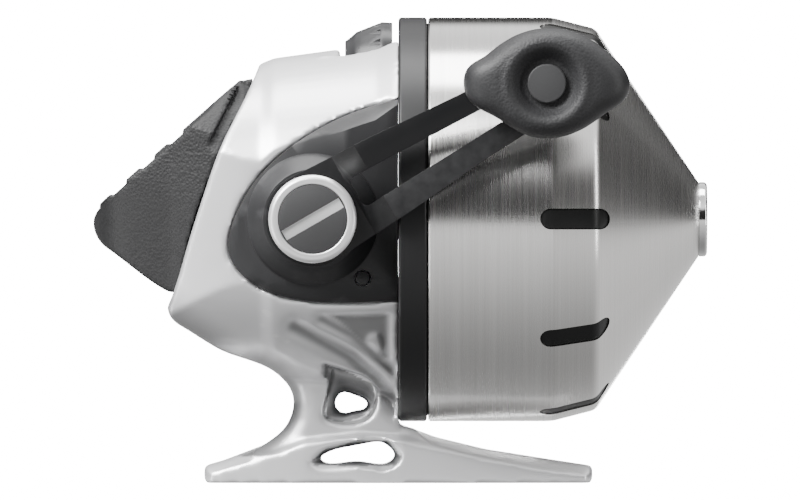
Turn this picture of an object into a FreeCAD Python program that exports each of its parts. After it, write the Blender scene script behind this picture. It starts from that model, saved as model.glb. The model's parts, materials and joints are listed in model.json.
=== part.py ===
import FreeCAD, Part
import math
import os
import re

import Sketcher

# Spincast reel, millimetres, +Z up. The nose and its line exit point along +X, the crank is on
# the -Y side. The origin is the middle of the foot's underside, below the rear face of the
# deck ring. The reel axis runs along X at axis_height, the crank axis along Y through it.

SIZES = {
    "axis_height": 39.5,
    "crank_offset": 12.75,
    "ring_radius": 30.3,
    "ring_length": 4.3,
    "seam_gap": 0.15,
    "run_gap": 0.05,
    "cover_wall": 0.8,
    "straight_end": 23.0,
    "taper_end": 29.6,
    "taper_radius": 28.6,
    "nose_start": 45.0,
    "nose_radius": 5.6,
    "nose_length": 1.3,
    "nose_bore": 3.6,
    "slot_count": 10,
    "slot_width": 3.1,
    "slot_start": 21.1,
    "slot_end": 31.5,
    "liner_wall": 0.6,
    "plate_thick": 2.0,
    "spigot_end": 8.5,
    "tube_radius": 6.0,
    "tube_end": 20.5,
    "bushing_radius": 4.0,
    "sleeve_radius": 3.0,
    "shaft_radius": 2.0,
    "shaft_flat": 1.6,
    "shaft_back": 29.5,
    "shaft_front": 32.0,
    "flange_back": 5.1,
    "flange_front": 19.0,
    "flange_thick": 1.2,
    "flange_radius": 22.0,
    "lip_radius": 20.0,
    "arbor_radius": 11.0,
    "line_radius": 18.4,
    "spinner_back": 21.5,
    "spinner_front": 28.2,
    "spinner_radius": 22.5,
    "pin_station": 26.7,
    "pin_radius": 0.75,
    "gear_reach": 10.5,
    "pinion_pitch": 3.75,
    "tooth_module": 0.5,
    "gear_teeth": 42,
    "pinion_teeth": 15,
    "journal_radius": 3.0,
    "stud_radius": 2.4,
    "side_width": 22.0,
    "wall_thick": 2.4,
    "tail_radius": 39.1,
    "tail_start": 16.0,
    "plate_depth": 1.2,
    "hub_back": 26.6,
    "arm_thick": 2.4,
    "arm_clear": 31.0,
    "crank_radius": 40.1,
    "crank_angle": 30.0,
    "nut_radius": 6.57,
    "nut_depth": 2.9,
    "knob_length": 24.8,
    "knob_height": 16.2,
    "knob_back": 34.2,
    "knob_depth": 12.4,
    "axle_radius": 2.0,
    "foot_length": 58.2,
    "foot_width": 15.6,
    "neck_width": 13.0,
    "wheel_height": 22.5,
    "wheel_radius": 7.1,
    "wheel_flutes": 20,
    "pivot_x": -19.5,
    "pivot_z": 57.0,
    "pivot_radius": 1.2,
    "button_gap": 0.5,
}

doc = FreeCAD.newDocument("spincast_reel")
sheet = doc.addObject("Spreadsheet::Sheet", "Sizes")
for row, (alias, size) in enumerate(SIZES.items(), 1):
    sheet.set("A%d" % row, alias)
    sheet.set("B%d" % row, str(size))
    sheet.setAlias("B%d" % row, alias)
doc.recompute()

sub_parts = []


# ---- helpers for sketches and features -------------------------------------------------

def bound(expression):
    """Point every alias in an expression at the sheet."""
    return re.sub(r"[a-z]+(_[a-z]+)+", r"Sizes.\g<0>", str(expression))


def value(expression):
    return float(sheet.evalExpression(bound(expression)))


def keep(thing, label):
    """Register a finished sub-part under the name of its file."""
    thing.Label = label
    sub_parts.append(thing)
    return thing


def place(thing, x=0, y=0, z=0):
    for axis, spot in zip("xyz", (x, y, z)):
        thing.setExpression("Placement.Base." + axis, bound(spot))
    return thing


def on_reel_axis(thing):
    return place(thing, 0, 0, "axis_height")


def on_crank_axis(thing):
    return place(thing, "-crank_offset", 0, "axis_height")


def new_sketch(body, role, offset=0):
    sketch = body.newObject("Sketcher::SketchObject", body.Name + "_sketch")
    plane = [item for item in body.Origin.OriginFeatures if item.Role == role][0]
    sketch.AttachmentSupport = [(plane, "")]
    sketch.MapMode = "FlatFace"
    if offset:
        sketch.setExpression("AttachmentOffset.Base.z", bound(offset))
    return sketch


def fix_point(sketch, edge, end, spot):
    """Hold one point of a sketch at a pair of expressions."""
    for kind, other_axis, distance in (("DistanceX", -2, spot[0]), ("DistanceY", -1, spot[1])):
        if abs(value(distance)) < 1e-9:
            sketch.addConstraint(Sketcher.Constraint("PointOnObject", edge, end, other_axis))
            continue
        rule = Sketcher.Constraint(kind, -1, 1, edge, end, value(distance))
        number = sketch.addConstraint(rule)
        if bound(distance) != str(distance):
            sketch.setExpression("Constraints[%d]" % number, bound(distance))


def polygon(sketch, corners):
    """Draw a closed polygon whose corners are pairs of expressions."""
    spots = [FreeCAD.Vector(value(x), value(y), 0) for x, y in corners]
    first = sketch.GeometryCount
    count = len(spots)
    for i in range(count):
        sketch.addGeometry(Part.LineSegment(spots[i], spots[(i + 1) % count]), False)
    for i in range(count):
        after = first + (i + 1) % count
        sketch.addConstraint(Sketcher.Constraint("Coincident", first + i, 2, after, 1))
        fix_point(sketch, first + i, 1, corners[i])


def circle(sketch, x, y, radius):
    centre = FreeCAD.Vector(value(x), value(y), 0)
    edge = sketch.addGeometry(Part.Circle(centre, FreeCAD.Vector(0, 0, 1), value(radius)), False)
    fix_point(sketch, edge, 3, (x, y))
    rule = sketch.addConstraint(Sketcher.Constraint("Radius", edge, value(radius)))
    if bound(radius) != str(radius):
        sketch.setExpression("Constraints[%d]" % rule, bound(radius))


def pill(sketch, start, end, width):
    """Draw a slot with round ends along the sketch's horizontal axis."""
    half = value(width) / 2
    near = FreeCAD.Vector(value(start) + half, 0, 0)
    far = FreeCAD.Vector(value(end) - half, 0, 0)
    up = FreeCAD.Vector(0, half, 0)
    normal = FreeCAD.Vector(0, 0, 1)
    quarter = math.pi / 2
    sketch.addGeometry(Part.LineSegment(near - up, far - up), False)
    sketch.addGeometry(Part.ArcOfCircle(Part.Circle(far, normal, half), -quarter, quarter), False)
    sketch.addGeometry(Part.LineSegment(far + up, near + up), False)
    sketch.addGeometry(Part.ArcOfCircle(Part.Circle(near, normal, half), quarter, 3 * quarter), False)
    for edge in range(4):
        sketch.addConstraint(Sketcher.Constraint("Tangent", edge, 2, (edge + 1) % 4, 1))
    sketch.addConstraint(Sketcher.Constraint("Equal", 1, 3))
    radius = sketch.addConstraint(Sketcher.Constraint("Radius", 1, half))
    sketch.setExpression("Constraints[%d]" % radius, bound("(%s) / 2" % width))
    fix_point(sketch, 3, 3, ("%s + (%s) / 2" % (start, width), 0))
    fix_point(sketch, 1, 3, ("%s - (%s) / 2" % (end, width), 0))


def outline(sketch, runs):
    """Draw a closed free outline: each run is a line (two spots) or a smooth curve (more)."""
    for run in runs:
        spots = [FreeCAD.Vector(value(x), value(y), 0) for x, y in run]
        if len(spots) == 2:
            sketch.addGeometry(Part.LineSegment(*spots), False)
            continue
        curve = Part.BSplineCurve()
        curve.interpolate(spots)
        sketch.addGeometry(curve, False)


def new_body(name):
    return doc.addObject("PartDesign::Body", name)


def feature(body, kind, sketch, **settings):
    """Add a sketch-based feature; lengths given as text are bound to the sheet."""
    made = body.newObject("PartDesign::" + kind, body.Name + "_" + kind.lower())
    made.Profile = (sketch, [""])
    for name, setting in settings.items():
        if isinstance(setting, str) and name in ("Length", "Length2", "Angle"):
            made.setExpression(name, bound(setting))
        else:
            setattr(made, name, setting)
    return made


def turned(name, axis, corners):
    """A body of revolution about X or Y, from corners of (place along the axis, radius)."""
    body = new_body(name)
    sketch = new_sketch(body, {"x": "XZ_Plane", "y": "YZ_Plane"}[axis])
    polygon(sketch, corners)
    feature(body, "Revolution", sketch, ReferenceAxis=(sketch, ["H_Axis"]), Angle=360.0)
    return body


def slab(name, role, runs, thickness):
    """A free outline padded both ways from its plane."""
    body = new_body(name)
    sketch = new_sketch(body, role)
    outline(sketch, runs)
    feature(body, "Pad", sketch, Length=thickness, Midplane=True)
    return body


def around(body, seed, axis, count):
    """Repeat a feature round one of the body's own axes."""
    pattern = body.newObject("PartDesign::PolarPattern", body.Name + "_pattern")
    pattern.Originals = [seed]
    line = [item for item in body.Origin.OriginFeatures if item.Role == axis][0]
    pattern.Axis = (line, [""])
    pattern.Angle = 360.0
    pattern.setExpression("Occurrences", bound(count))
    body.Tip = pattern
    return pattern


def soften(body, radius, picked):
    """Fillet the edges of a body that a test picks."""
    doc.recompute()
    tip = body.Tip
    names = ["Edge%d" % (i + 1) for i, edge in enumerate(tip.Shape.Edges) if picked(edge)]
    fillet = body.newObject("PartDesign::Fillet", body.Name + "_fillet")
    fillet.Base = (tip, names)
    fillet.Radius = radius
    doc.recompute()
    return fillet


def ring_edge(axis, along, radius, slack=0.05):
    """A test for the circular edge at one place along an axis, in the body's own frame."""
    def test(edge):
        if not isinstance(edge.Curve, Part.Circle):
            return False
        centre = edge.Curve.Center
        spot = centre.x if axis == "x" else centre.y
        return abs(spot - along) < slack and abs(edge.Curve.Radius - radius) < slack
    return test


def any_of(*tests):
    return lambda edge: any(test(edge) for test in tests)


def joined(name, pieces):
    fuse = doc.addObject("Part::MultiFuse", name)
    fuse.Shapes = pieces
    fuse.Refine = False
    return fuse


def shared(name, pieces):
    common = doc.addObject("Part::MultiCommon", name)
    common.Shapes = pieces
    return common


def less(name, base, tool):
    cut = doc.addObject("Part::Cut", name)
    cut.Base = base
    cut.Tool = tool
    cut.Refine = False
    return cut


def rod(name, radius, start, length, axis, across=(0, 0)):
    """A Part cylinder along X, Y or Z; across gives its two other coordinates."""
    made = doc.addObject("Part::Cylinder", name)
    made.setExpression("Radius", bound(radius))
    made.setExpression("Height", bound(length))
    turn = {"x": ((0, 1, 0), 90), "y": ((1, 0, 0), -90), "z": ((0, 0, 1), 0)}[axis]
    made.Placement = FreeCAD.Placement(FreeCAD.Vector(), FreeCAD.Rotation(FreeCAD.Vector(*turn[0]), turn[1]))
    spots = {"x": (start,) + across, "y": (across[0], start, across[1]), "z": across + (start,)}
    return place(made, *spots[axis])


def block(name, low, high):
    """A Part box between two corners of expressions."""
    made = doc.addObject("Part::Box", name)
    for side, first, last in zip(("Length", "Width", "Height"), low, high):
        made.setExpression(side, bound("(%s) - (%s)" % (last, first)))
    return place(made, *low)


# ---- front cover, liner, nose ring, brake ring -----------------------------------------

def front_cover():
    """Stainless cup: straight skirt, shallow taper, cone, ten slots over the shoulder."""
    body = on_reel_axis(turned("cover_shell", "x", [
        ("ring_length + seam_gap", "ring_radius"),
        ("straight_end", "ring_radius"),
        ("taper_end", "taper_radius"),
        ("nose_start", "nose_radius"),
        ("nose_start", "nose_radius - 1"),
        ("nose_start - cover_wall", "nose_radius - 1"),
        ("nose_start - cover_wall", "nose_radius - 0.3"),
        ("taper_end - cover_wall / 2", "taper_radius - cover_wall"),
        ("straight_end", "ring_radius - cover_wall"),
        ("ring_length + seam_gap", "ring_radius - cover_wall")]))
    soften(body, 8.0, ring_edge("x", value("straight_end"), value("ring_radius")))
    soften(body, 2.5, ring_edge("x", value("taper_end"), value("taper_radius")))
    slots = new_body("slot_cutters")
    sketch = new_sketch(slots, "XZ_Plane", 18)
    pill(sketch, "slot_start", "slot_end", "slot_width")
    slot = feature(slots, "Pad", sketch, Length=15.0)
    around(slots, slot, "X_Axis", "slot_count")
    return keep(less("slotted_cover", body, on_reel_axis(slots)), "front_cover")


def cover_liner():
    """Black liner pressed into the cover; its ten pads fill the slots."""
    shell = on_reel_axis(turned("liner_shell", "x", [
        (19, "ring_radius - cover_wall - run_gap"),
        ("straight_end", "ring_radius - cover_wall - run_gap"),
        ("taper_end - cover_wall / 2 - run_gap", "taper_radius - cover_wall - run_gap"),
        (31.8, 23.7),
        (31.2, 23.5),
        ("taper_end - cover_wall", "taper_radius - cover_wall - liner_wall"),
        ("straight_end", "ring_radius - cover_wall - liner_wall"),
        (19, "ring_radius - cover_wall - liner_wall")]))
    blank = on_reel_axis(turned("pad_blank", "x", [
        (20, "ring_radius - seam_gap"),
        ("straight_end", "ring_radius - seam_gap"),
        ("taper_end", "taper_radius - seam_gap"),
        (32, 24.7),
        (32, 22.5),
        ("taper_end - cover_wall", "taper_radius - cover_wall - liner_wall / 2"),
        ("straight_end", "ring_radius - cover_wall - liner_wall / 2"),
        (20, "ring_radius - cover_wall - liner_wall / 2")]))
    soften(blank, 8.0, ring_edge("x", value("straight_end"), value("ring_radius - seam_gap")))
    soften(blank, 2.5, ring_edge("x", value("taper_end"), value("taper_radius - seam_gap")))
    pads = on_reel_axis(new_body("pad_outline"))
    sketch = new_sketch(pads, "XZ_Plane")
    pill(sketch, "slot_start + seam_gap", "slot_end - seam_gap", "slot_width - seam_gap * 2")
    pad = feature(pads, "Pad", sketch, Length="ring_radius + 1")
    around(pads, pad, "X_Axis", "slot_count")
    return keep(joined("liner", [shell, shared("pads", [blank, pads])]), "cover_liner")


def nose_ring():
    """Polished line exit, rolled into the cover's front hole."""
    front = "nose_start + nose_length"
    body = on_reel_axis(turned("nose_ring", "x", [
        ("nose_start - 1.5", "nose_bore"),
        (front, "nose_bore"),
        (front, "nose_radius"),
        ("nose_start", "nose_radius"),
        ("nose_start", "nose_radius - 1"),
        ("nose_start - cover_wall", "nose_radius - 1"),
        ("nose_start - cover_wall", "nose_radius - 0.6"),
        ("nose_start - 1.5", "nose_radius - 0.6")]))
    soften(body, 0.55, any_of(ring_edge("x", value(front), value("nose_radius")),
                              ring_edge("x", value(front), value("nose_bore"))))
    return keep(body, "nose_ring")


def brake_ring():
    """Rubber ring in the cone, against which the spinner head clamps the line."""
    body = turned("brake_ring", "x", [(31.9, 21.0), (32.6, 22.5), (34.2, 20.1), (33.5, 18.6)])
    return keep(on_reel_axis(body), "brake_ring")


# ---- deck, spool and drag --------------------------------------------------------------

SCREW_SPOTS = [(14.0, 19.0), (-14.0, 19.0), (16.6, -10.2), (-16.6, -10.2)]


def deck_ring():
    """Black ring with its deck plate, the spigot for the cover and the spool's tube."""
    body = on_reel_axis(turned("deck_ring", "x", [
        (0, "bushing_radius"),
        (0, "ring_radius"),
        ("ring_length", "ring_radius"),
        ("ring_length", "ring_radius - cover_wall - 0.1"),
        ("spigot_end", "ring_radius - cover_wall - 0.1"),
        ("spigot_end", "ring_radius - cover_wall - 1.6"),
        ("plate_thick", "ring_radius - cover_wall - 1.6"),
        ("plate_thick", "tube_radius"),
        ("tube_end", "tube_radius"),
        ("tube_end", "bushing_radius")]))
    soften(body, 0.5, any_of(ring_edge("x", 0.0, value("ring_radius")),
                             ring_edge("x", value("ring_length"), value("ring_radius"))))
    sketch = new_sketch(body, "YZ_Plane")
    for across, up in SCREW_SPOTS:
        circle(sketch, across, up, 1.6)
    circle(sketch, 0, "wheel_height", "1.5 + run_gap")
    feature(body, "Pocket", sketch, Length="plate_thick + 1", Reversed=True)
    return keep(body, "deck_ring")


def deck_screws():
    """Four pan-head screws from the deck plate into the body's posts."""
    screws = []
    for number, (across, up) in enumerate(SCREW_SPOTS):
        screw = turned("deck_screw_%d" % number, "x", [
            (-4, 0), ("plate_thick + 1.3", 0), ("plate_thick + 1.3", 2.2),
            ("plate_thick + 0.4", 2.7), ("plate_thick", 2.7), ("plate_thick", 1.5), (-4, 1.5)])
        slot = new_sketch(screw, "YZ_Plane", "plate_thick + 1.3")
        polygon(slot, [(-2.8, -0.35), (2.8, -0.35), (2.8, 0.35), (-2.8, 0.35)])
        feature(screw, "Pocket", slot, Length=0.6)
        screws.append(place(screw, 0, across, "axis_height + (%s)" % up))
    return keep(joined("deck_screw_set", screws), "deck_screws")


def pinion_bushing():
    body = turned("pinion_bushing", "x", [
        (0, "sleeve_radius + run_gap"), (0, "bushing_radius"),
        ("tube_end", "bushing_radius"), ("tube_end", "sleeve_radius + run_gap")])
    return keep(on_reel_axis(body), "pinion_bushing")


def spool():
    """Line spool that turns on the deck's tube."""
    body = turned("spool", "x", [
        ("flange_back", "tube_radius + run_gap"),
        ("flange_back", "flange_radius"),
        ("flange_back + flange_thick", "flange_radius"),
        ("flange_back + flange_thick", "arbor_radius"),
        ("flange_front - flange_thick", "arbor_radius"),
        ("flange_front - flange_thick", "lip_radius"),
        ("flange_front", "lip_radius"),
        ("flange_front", "tube_radius + run_gap")])
    return keep(on_reel_axis(body), "spool")


def line_winding():
    """The wound line, as one slightly crowned solid."""
    body = turned("line_winding", "x", [
        ("flange_back + flange_thick", "arbor_radius"),
        ("flange_back + flange_thick", "line_radius - 0.5"),
        (12, "line_radius"),
        ("flange_front - flange_thick", "line_radius - 0.7"),
        ("flange_front - flange_thick", "arbor_radius")])
    return keep(on_reel_axis(body), "line_winding")


def spool_clip():
    """Ring that keeps the spool on its tube."""
    body = turned("spool_clip", "x", [
        ("flange_front + 0.3", "tube_radius"), ("flange_front + 0.3", 7.8),
        ("flange_front + 1.1", 7.8), ("flange_front + 1.1", "tube_radius")])
    return keep(on_reel_axis(body), "spool_clip")


def drag_wheel():
    """Thumb wheel with flutes along the reel axis and a plain front band."""
    body = turned("drag_wheel", "x", [
        (-8.0, 1.5), (-8.0, 4.2), (-7.2, "wheel_radius - 2.3"), (-6.3, "wheel_radius - 1.5"),
        (-2.5, "wheel_radius"), (-0.9, "wheel_radius - 0.1"), (-0.9, 1.5)])
    sketch = new_sketch(body, "YZ_Plane", -8.5)
    circle(sketch, 0, "wheel_radius + 0.05", 0.62)
    flute = feature(body, "Pocket", sketch, Length=5.8, Reversed=True)
    around(body, flute, "X_Axis", "wheel_flutes")
    return keep(place(body, 0, 0, "axis_height + wheel_height"), "drag_wheel")


def drag_screw():
    """Screw on the drag wheel; its tip bears on the drag shoe."""
    body = turned("drag_screw", "x", [(-10.4, 0), (3.25, 0), (3.25, 1.0), (2.8, 1.5), (-10.4, 1.5)])
    return keep(place(body, 0, 0, "axis_height + wheel_height"), "drag_screw")


def drag_shoe():
    """Small plate that the drag screw pushes against the spool's rear flange."""
    plate = block("shoe_block", ("plate_thick + 1.35", -5, "axis_height + 15.5"),
                  ("flange_back - 0.35", 5, "axis_height + 24"))
    body = doc.addObject("Part::Fillet", "shoe_rounded")
    body.Base = plate
    doc.recompute()
    upright = [i + 1 for i, edge in enumerate(plate.Shape.Edges) if edge.BoundBox.XLength > 1.0]
    body.Edges = [(number, 1.0, 1.0) for number in upright]
    return keep(body, "drag_shoe")


# ---- main shaft, pinion and spinner head ------------------------------------------------

def flatted(name, start, end, grow):
    """A round bar along X with two flats, grown for a bore when asked."""
    bar = rod(name + "_bar", "shaft_radius + (%s)" % grow, start, "(%s) - (%s)" % (end, start), "x",
              (0, "axis_height"))
    half = "shaft_flat + (%s)" % grow
    flats = block(name + "_flats", (start, "-(%s)" % half, "axis_height - 3"),
                  (end, half, "axis_height + 3"))
    return shared(name, [bar, flats])


def main_shaft():
    """Centre shaft, flatted so that it turns with the pinion and slides in it."""
    return keep(flatted("main_shaft", "-shaft_back", "shaft_front", 0), "main_shaft")


def shaft_clip():
    body = turned("shaft_clip", "x", [
        (-21.0, "shaft_radius"), (-21.0, 4.0), (-20.2, 4.0), (-20.2, "shaft_radius")])
    return keep(on_reel_axis(body), "shaft_clip")


def shaft_spring():
    """Return spring round the main shaft, from its clip to the pinion's rear face."""
    body = turned("shaft_spring", "x", [
        (-20.1, "shaft_radius + 0.3"), (-20.1, 2.85), (-5.1, 2.85), (-5.1, "shaft_radius + 0.3")])
    return keep(on_reel_axis(body), "shaft_spring")


def pinion():
    """Fifteen-tooth pinion and its sleeve, with a flatted bore for the main shaft."""
    root = "pinion_pitch - tooth_module * 1.3"
    tip = "pinion_pitch + tooth_module"
    blank = on_reel_axis(turned("pinion_blank", "x", [
        (-5, 0), (-5, root), (-0.3, root), (-0.3, "sleeve_radius"), (22, "sleeve_radius"), (22, 0)]))
    sketch = new_sketch(blank, "YZ_Plane", -5)
    polygon(sketch, [("sleeve_radius - 0.1", -0.42), (tip, -0.13),
                     (tip, 0.13), ("sleeve_radius - 0.1", 0.42)])
    tooth = feature(blank, "Pad", sketch, Length=4.7)
    around(blank, tooth, "X_Axis", "pinion_teeth")
    return keep(less("pinion_cut", blank, flatted("pinion_bore", -6, 23, "run_gap")), "pinion")


def spinner_head():
    """Pickup cup on the front of the main shaft, bored across for the pickup pin."""
    body = on_reel_axis(turned("spinner_head", "x", [
        (22.4, "shaft_radius"),
        (22.4, 5),
        ("spinner_front - 3", 5),
        ("spinner_front - 3", "spinner_radius - 1.5"),
        ("spinner_back", "spinner_radius - 1.5"),
        ("spinner_back", "spinner_radius"),
        ("spinner_front - 0.7", "spinner_radius"),
        ("spinner_front", "spinner_radius - 1"),
        ("spinner_front", "shaft_radius")]))
    sketch = new_sketch(body, "XY_Plane", 9.5)
    circle(sketch, "pin_station", 0, "pin_radius + run_gap")
    feature(body, "Pocket", sketch, Type=1, Reversed=True)
    return keep(body, "spinner_head")


def spinner_nut():
    """Hexagon nut on the shaft's front end."""
    nut = new_body("spinner_nut")
    sketch = new_sketch(nut, "YZ_Plane", "spinner_front")
    corners = [("%.4f" % (4.0 * math.cos(k * math.pi / 3)), "%.4f" % (4.0 * math.sin(k * math.pi / 3)))
               for k in range(6)]
    polygon(sketch, corners)
    circle(sketch, 0, 0, "shaft_radius")
    feature(nut, "Pad", sketch, Length=2.6)
    return keep(on_reel_axis(nut), "spinner_nut")


def pickup_pin():
    """Pin that carries the line round the spool; it draws in when the head moves forward."""
    pin = rod("pickup_pin", "pin_radius", "axis_height + 12.5", 11.5, "z", ("pin_station", 0))
    return keep(pin, "pickup_pin")


# ---- crank, gear and anti-reverse -------------------------------------------------------

def crank_shaft():
    """Crank axle with a threaded stud for the handle."""
    body = turned("crank_shaft", "y", [
        (-5, 0), (-5, "journal_radius"), ("-hub_back", "journal_radius"),
        ("-hub_back", "stud_radius"), (-30.8, "stud_radius"), (-30.8, 0)])
    return keep(on_crank_axis(body), "crank_shaft")


def crank_bushing():
    """Flanged bronze bush in the body's bearing tube."""
    body = turned("crank_bushing", "y", [
        (-9.8, "journal_radius + run_gap"), (-9.8, 4.5), (-25.3, 4.5), (-25.3, 5.6),
        (-25.8, 5.6), (-25.8, "journal_radius + run_gap")])
    return keep(on_crank_axis(body), "crank_bushing")


def handle_washer():
    body = turned("handle_washer", "y", [
        (-26, "journal_radius"), (-26, 5.8), ("-hub_back", 5.8), ("-hub_back", "journal_radius")])
    return keep(on_crank_axis(body), "handle_washer")


def drive_gear():
    """Face gear with radial teeth that stand towards the reel axis."""
    root = "-pinion_pitch - tooth_module * 1.25"
    tip = "-pinion_pitch + tooth_module"
    body = on_crank_axis(turned("drive_gear", "y", [
        (root, "journal_radius"), (root, 12.2), (-6.6, 12.2), (-6.6, 5),
        (-7.6, 5), (-7.6, "journal_radius")]))
    sketch = new_sketch(body, "YZ_Plane", "gear_reach - 0.9")
    polygon(sketch, [(root, -0.38), (tip, -0.12), (tip, 0.12), (root, 0.38)])
    tooth = feature(body, "Pad", sketch, Length=1.8)
    around(body, tooth, "Y_Axis", "gear_teeth")
    return keep(body, "drive_gear")


def ratchet_wheel():
    """Twelve sloped teeth on the crank shaft for the anti-reverse pawl."""
    body = on_crank_axis(turned("ratchet_wheel", "y", [
        (-7.8, "journal_radius"), (-7.8, 6.3), (-9.2, 6.3), (-9.2, "journal_radius")]))
    sketch = new_sketch(body, "XZ_Plane", 7.8)
    polygon(sketch, [(5.8, 0), (7.5, 0), (5.9, 2.2), (5.2, 1.9)])
    tooth = feature(body, "Pad", sketch, Length=1.4)
    around(body, tooth, "Y_Axis", 12)
    return keep(body, "ratchet_wheel")


PAWL_PIVOT = (-5.3, 30.7)


def anti_reverse_pawl():
    """Rocking lever below the ratchet wheel, free of its teeth at rest."""
    body = new_body("anti_reverse_pawl")
    sketch = new_sketch(body, "XZ_Plane", 7.8)
    polygon(sketch, [(-5.3, 28.9), (-3.9, 29.6), (-3.5, 30.7), (-3.9, 31.8), (-5.3, 32.3),
                     (-13.2, 30.8), (-13.9, 30.3), (-13.4, 29.4)])
    circle(sketch, PAWL_PIVOT[0], PAWL_PIVOT[1], "1 + run_gap")
    feature(body, "Pad", sketch, Length=1.4)
    return keep(body, "anti_reverse_pawl")


def pawl_pin():
    """Pivot of the pawl; its outer end shows as a peg in the side plate."""
    pin = rod("pawl_pin", "1.0", -22.3, 15.1, "y", PAWL_PIVOT)
    return keep(pin, "pawl_pin")


def handle_arm():
    """Two-rail crank arm, stepped outwards to clear the cover."""
    face = new_body("arm_face")
    sketch = new_sketch(face, "XZ_Plane")
    outline(sketch, [
        [(0, 7.0), (13, 6.3)], [(13, 6.3), (28, 5.1)], [(28, 5.1), ("crank_radius", 4.6)],
        [("crank_radius", 4.6), ("crank_radius + 3.25", 3.25), ("crank_radius + 4.6", 0),
         ("crank_radius + 3.25", -3.25), ("crank_radius", -4.6)],
        [("crank_radius", -4.6), (28, -5.1)], [(28, -5.1), (13, -6.3)], [(13, -6.3), (0, -7.0)],
        [(0, -7.0), (-4.95, -4.95), (-7.0, 0), (-4.95, 4.95), (0, 7.0)]])
    feature(face, "Pad", sketch, Length="arm_clear + arm_thick + 1")
    step = new_body("arm_step")
    sketch = new_sketch(step, "XY_Plane")
    inner, outer = "-hub_back", "-hub_back - arm_thick"
    polygon(sketch, [
        (-8, inner), (7.2, inner), (11.0, "-arm_clear"), (47, "-arm_clear"),
        (47, "-arm_clear - arm_thick"), (10.8, "-arm_clear - arm_thick"), (7.0, outer), (-8, outer)])
    feature(step, "Pad", sketch, Length=20.0, Midplane=True)
    window = new_body("arm_window")
    sketch = new_sketch(window, "XZ_Plane", 20)
    outline(sketch, [
        [(8.4, -2.4), (33.0, -1.5)],
        [(33.0, -1.5), (34.2, -0.9), (34.6, 0), (34.2, 0.9), (33.0, 1.5)],
        [(33.0, 1.5), (8.4, 2.4)],
        [(8.4, 2.4), (7.75, 2.0), (7.6, 0), (7.75, -2.0), (8.4, -2.4)]])
    feature(window, "Pad", sketch, Length=20.0)
    bore = rod("arm_bore", "stud_radius", -35, 10, "y")
    arm = less("arm", shared("arm_blank", [face, step]), joined("arm_cuts", [window, bore]))
    turn = FreeCAD.Rotation(FreeCAD.Vector(0, 1, 0), -value("crank_angle"))
    arm.Placement = FreeCAD.Placement(FreeCAD.Vector(), turn)
    return keep(on_crank_axis(arm), "handle_arm")


def coin_slot(body, depth):
    """A slot across the nut, turned in line with the handle."""
    sketch = new_sketch(body, "XZ_Plane", 31.9)
    angle = math.radians(value("crank_angle"))
    along = FreeCAD.Vector(math.cos(angle), math.sin(angle), 0)
    across = FreeCAD.Vector(-math.sin(angle), math.cos(angle), 0)
    spots = [along * a * 4.9 + across * b * 0.8 for a, b in ((-1, -1), (1, -1), (1, 1), (-1, 1))]
    for i in range(4):
        sketch.addGeometry(Part.LineSegment(spots[i], spots[(i + 1) % 4]), False)
    return feature(body, "Pocket", sketch, Length=depth)


def handle_nut():
    """Bright cap nut with a chamfered rim round a sunk face."""
    body = turned("handle_nut", "y", [
        (-29, "stud_radius"), (-29, "nut_radius"), (-31.4, "nut_radius"),
        ("-29 - nut_depth", "nut_radius - 0.5"), ("-29 - nut_depth", "nut_radius - 1.4"),
        (-31.4, "nut_radius - 1.4"), (-31.4, 0), (-30.8, 0), (-30.8, "stud_radius")])
    return keep(on_crank_axis(body), "handle_nut")


def nut_disc():
    """Charcoal disc in the nut, cut through by the coin slot."""
    body = on_crank_axis(turned("nut_disc", "y", [
        (-31.4, 0), (-31.4, "nut_radius - 1.45"), (-31.8, "nut_radius - 1.45"), (-31.8, 0)]))
    coin_slot(body, 1.0)
    return keep(body, "nut_disc")


def knob_spot():
    """Where the knob's axle meets the arm, as X and Z expressions."""
    turn = "crank_angle * 1 deg"
    return ("-crank_offset + crank_radius * cos(%s)" % turn,
            "axis_height + crank_radius * sin(%s)" % turn)


def at_knob(thing):
    x, z = knob_spot()
    return place(thing, x, 0, z)


def handle_knob():
    """Eye-shaped rubber paddle with a dished middle, bored for its axle."""
    body = at_knob(new_body("handle_knob"))
    sketch = new_sketch(body, "XZ_Plane", "knob_back")
    half, rise = value("knob_length / 2"), value("knob_height / 2")
    tip = 2.6
    shoulder = half - 2.2
    outline(sketch, [
        [(-shoulder, tip), (-half * 0.5, rise * 0.83), (0, rise),
         (half * 0.5, rise * 0.83), (shoulder, tip)],
        [(shoulder, tip), (half - 0.35, tip * 0.6), (half, 0), (half - 0.35, -tip * 0.6),
         (shoulder, -tip)],
        [(shoulder, -tip), (half * 0.5, -rise * 0.83), (0, -rise),
         (-half * 0.5, -rise * 0.83), (-shoulder, -tip)],
        [(-shoulder, -tip), (-half + 0.35, -tip * 0.6), (-half, 0), (-half + 0.35, tip * 0.6),
         (-shoulder, tip)]])
    feature(body, "Pad", sketch, Length="knob_depth")
    front = value("knob_back + knob_depth")
    dish = new_sketch(body, "YZ_Plane")
    polygon(dish, [(-front - 1, 0), (-front - 1, 6.4), (-front, 6.0), (-front + 1.6, 3.7),
                   (-front + 2.0, 3.7), (-front + 2.0, 0)])
    feature(body, "Groove", dish, ReferenceAxis=(dish, ["H_Axis"]), Angle=360.0)
    bore = new_sketch(body, "XZ_Plane")
    circle(bore, 0, 0, "axle_radius + run_gap")
    feature(body, "Pocket", bore, Type=1, Midplane=True)
    return keep(body, "handle_knob")


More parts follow.
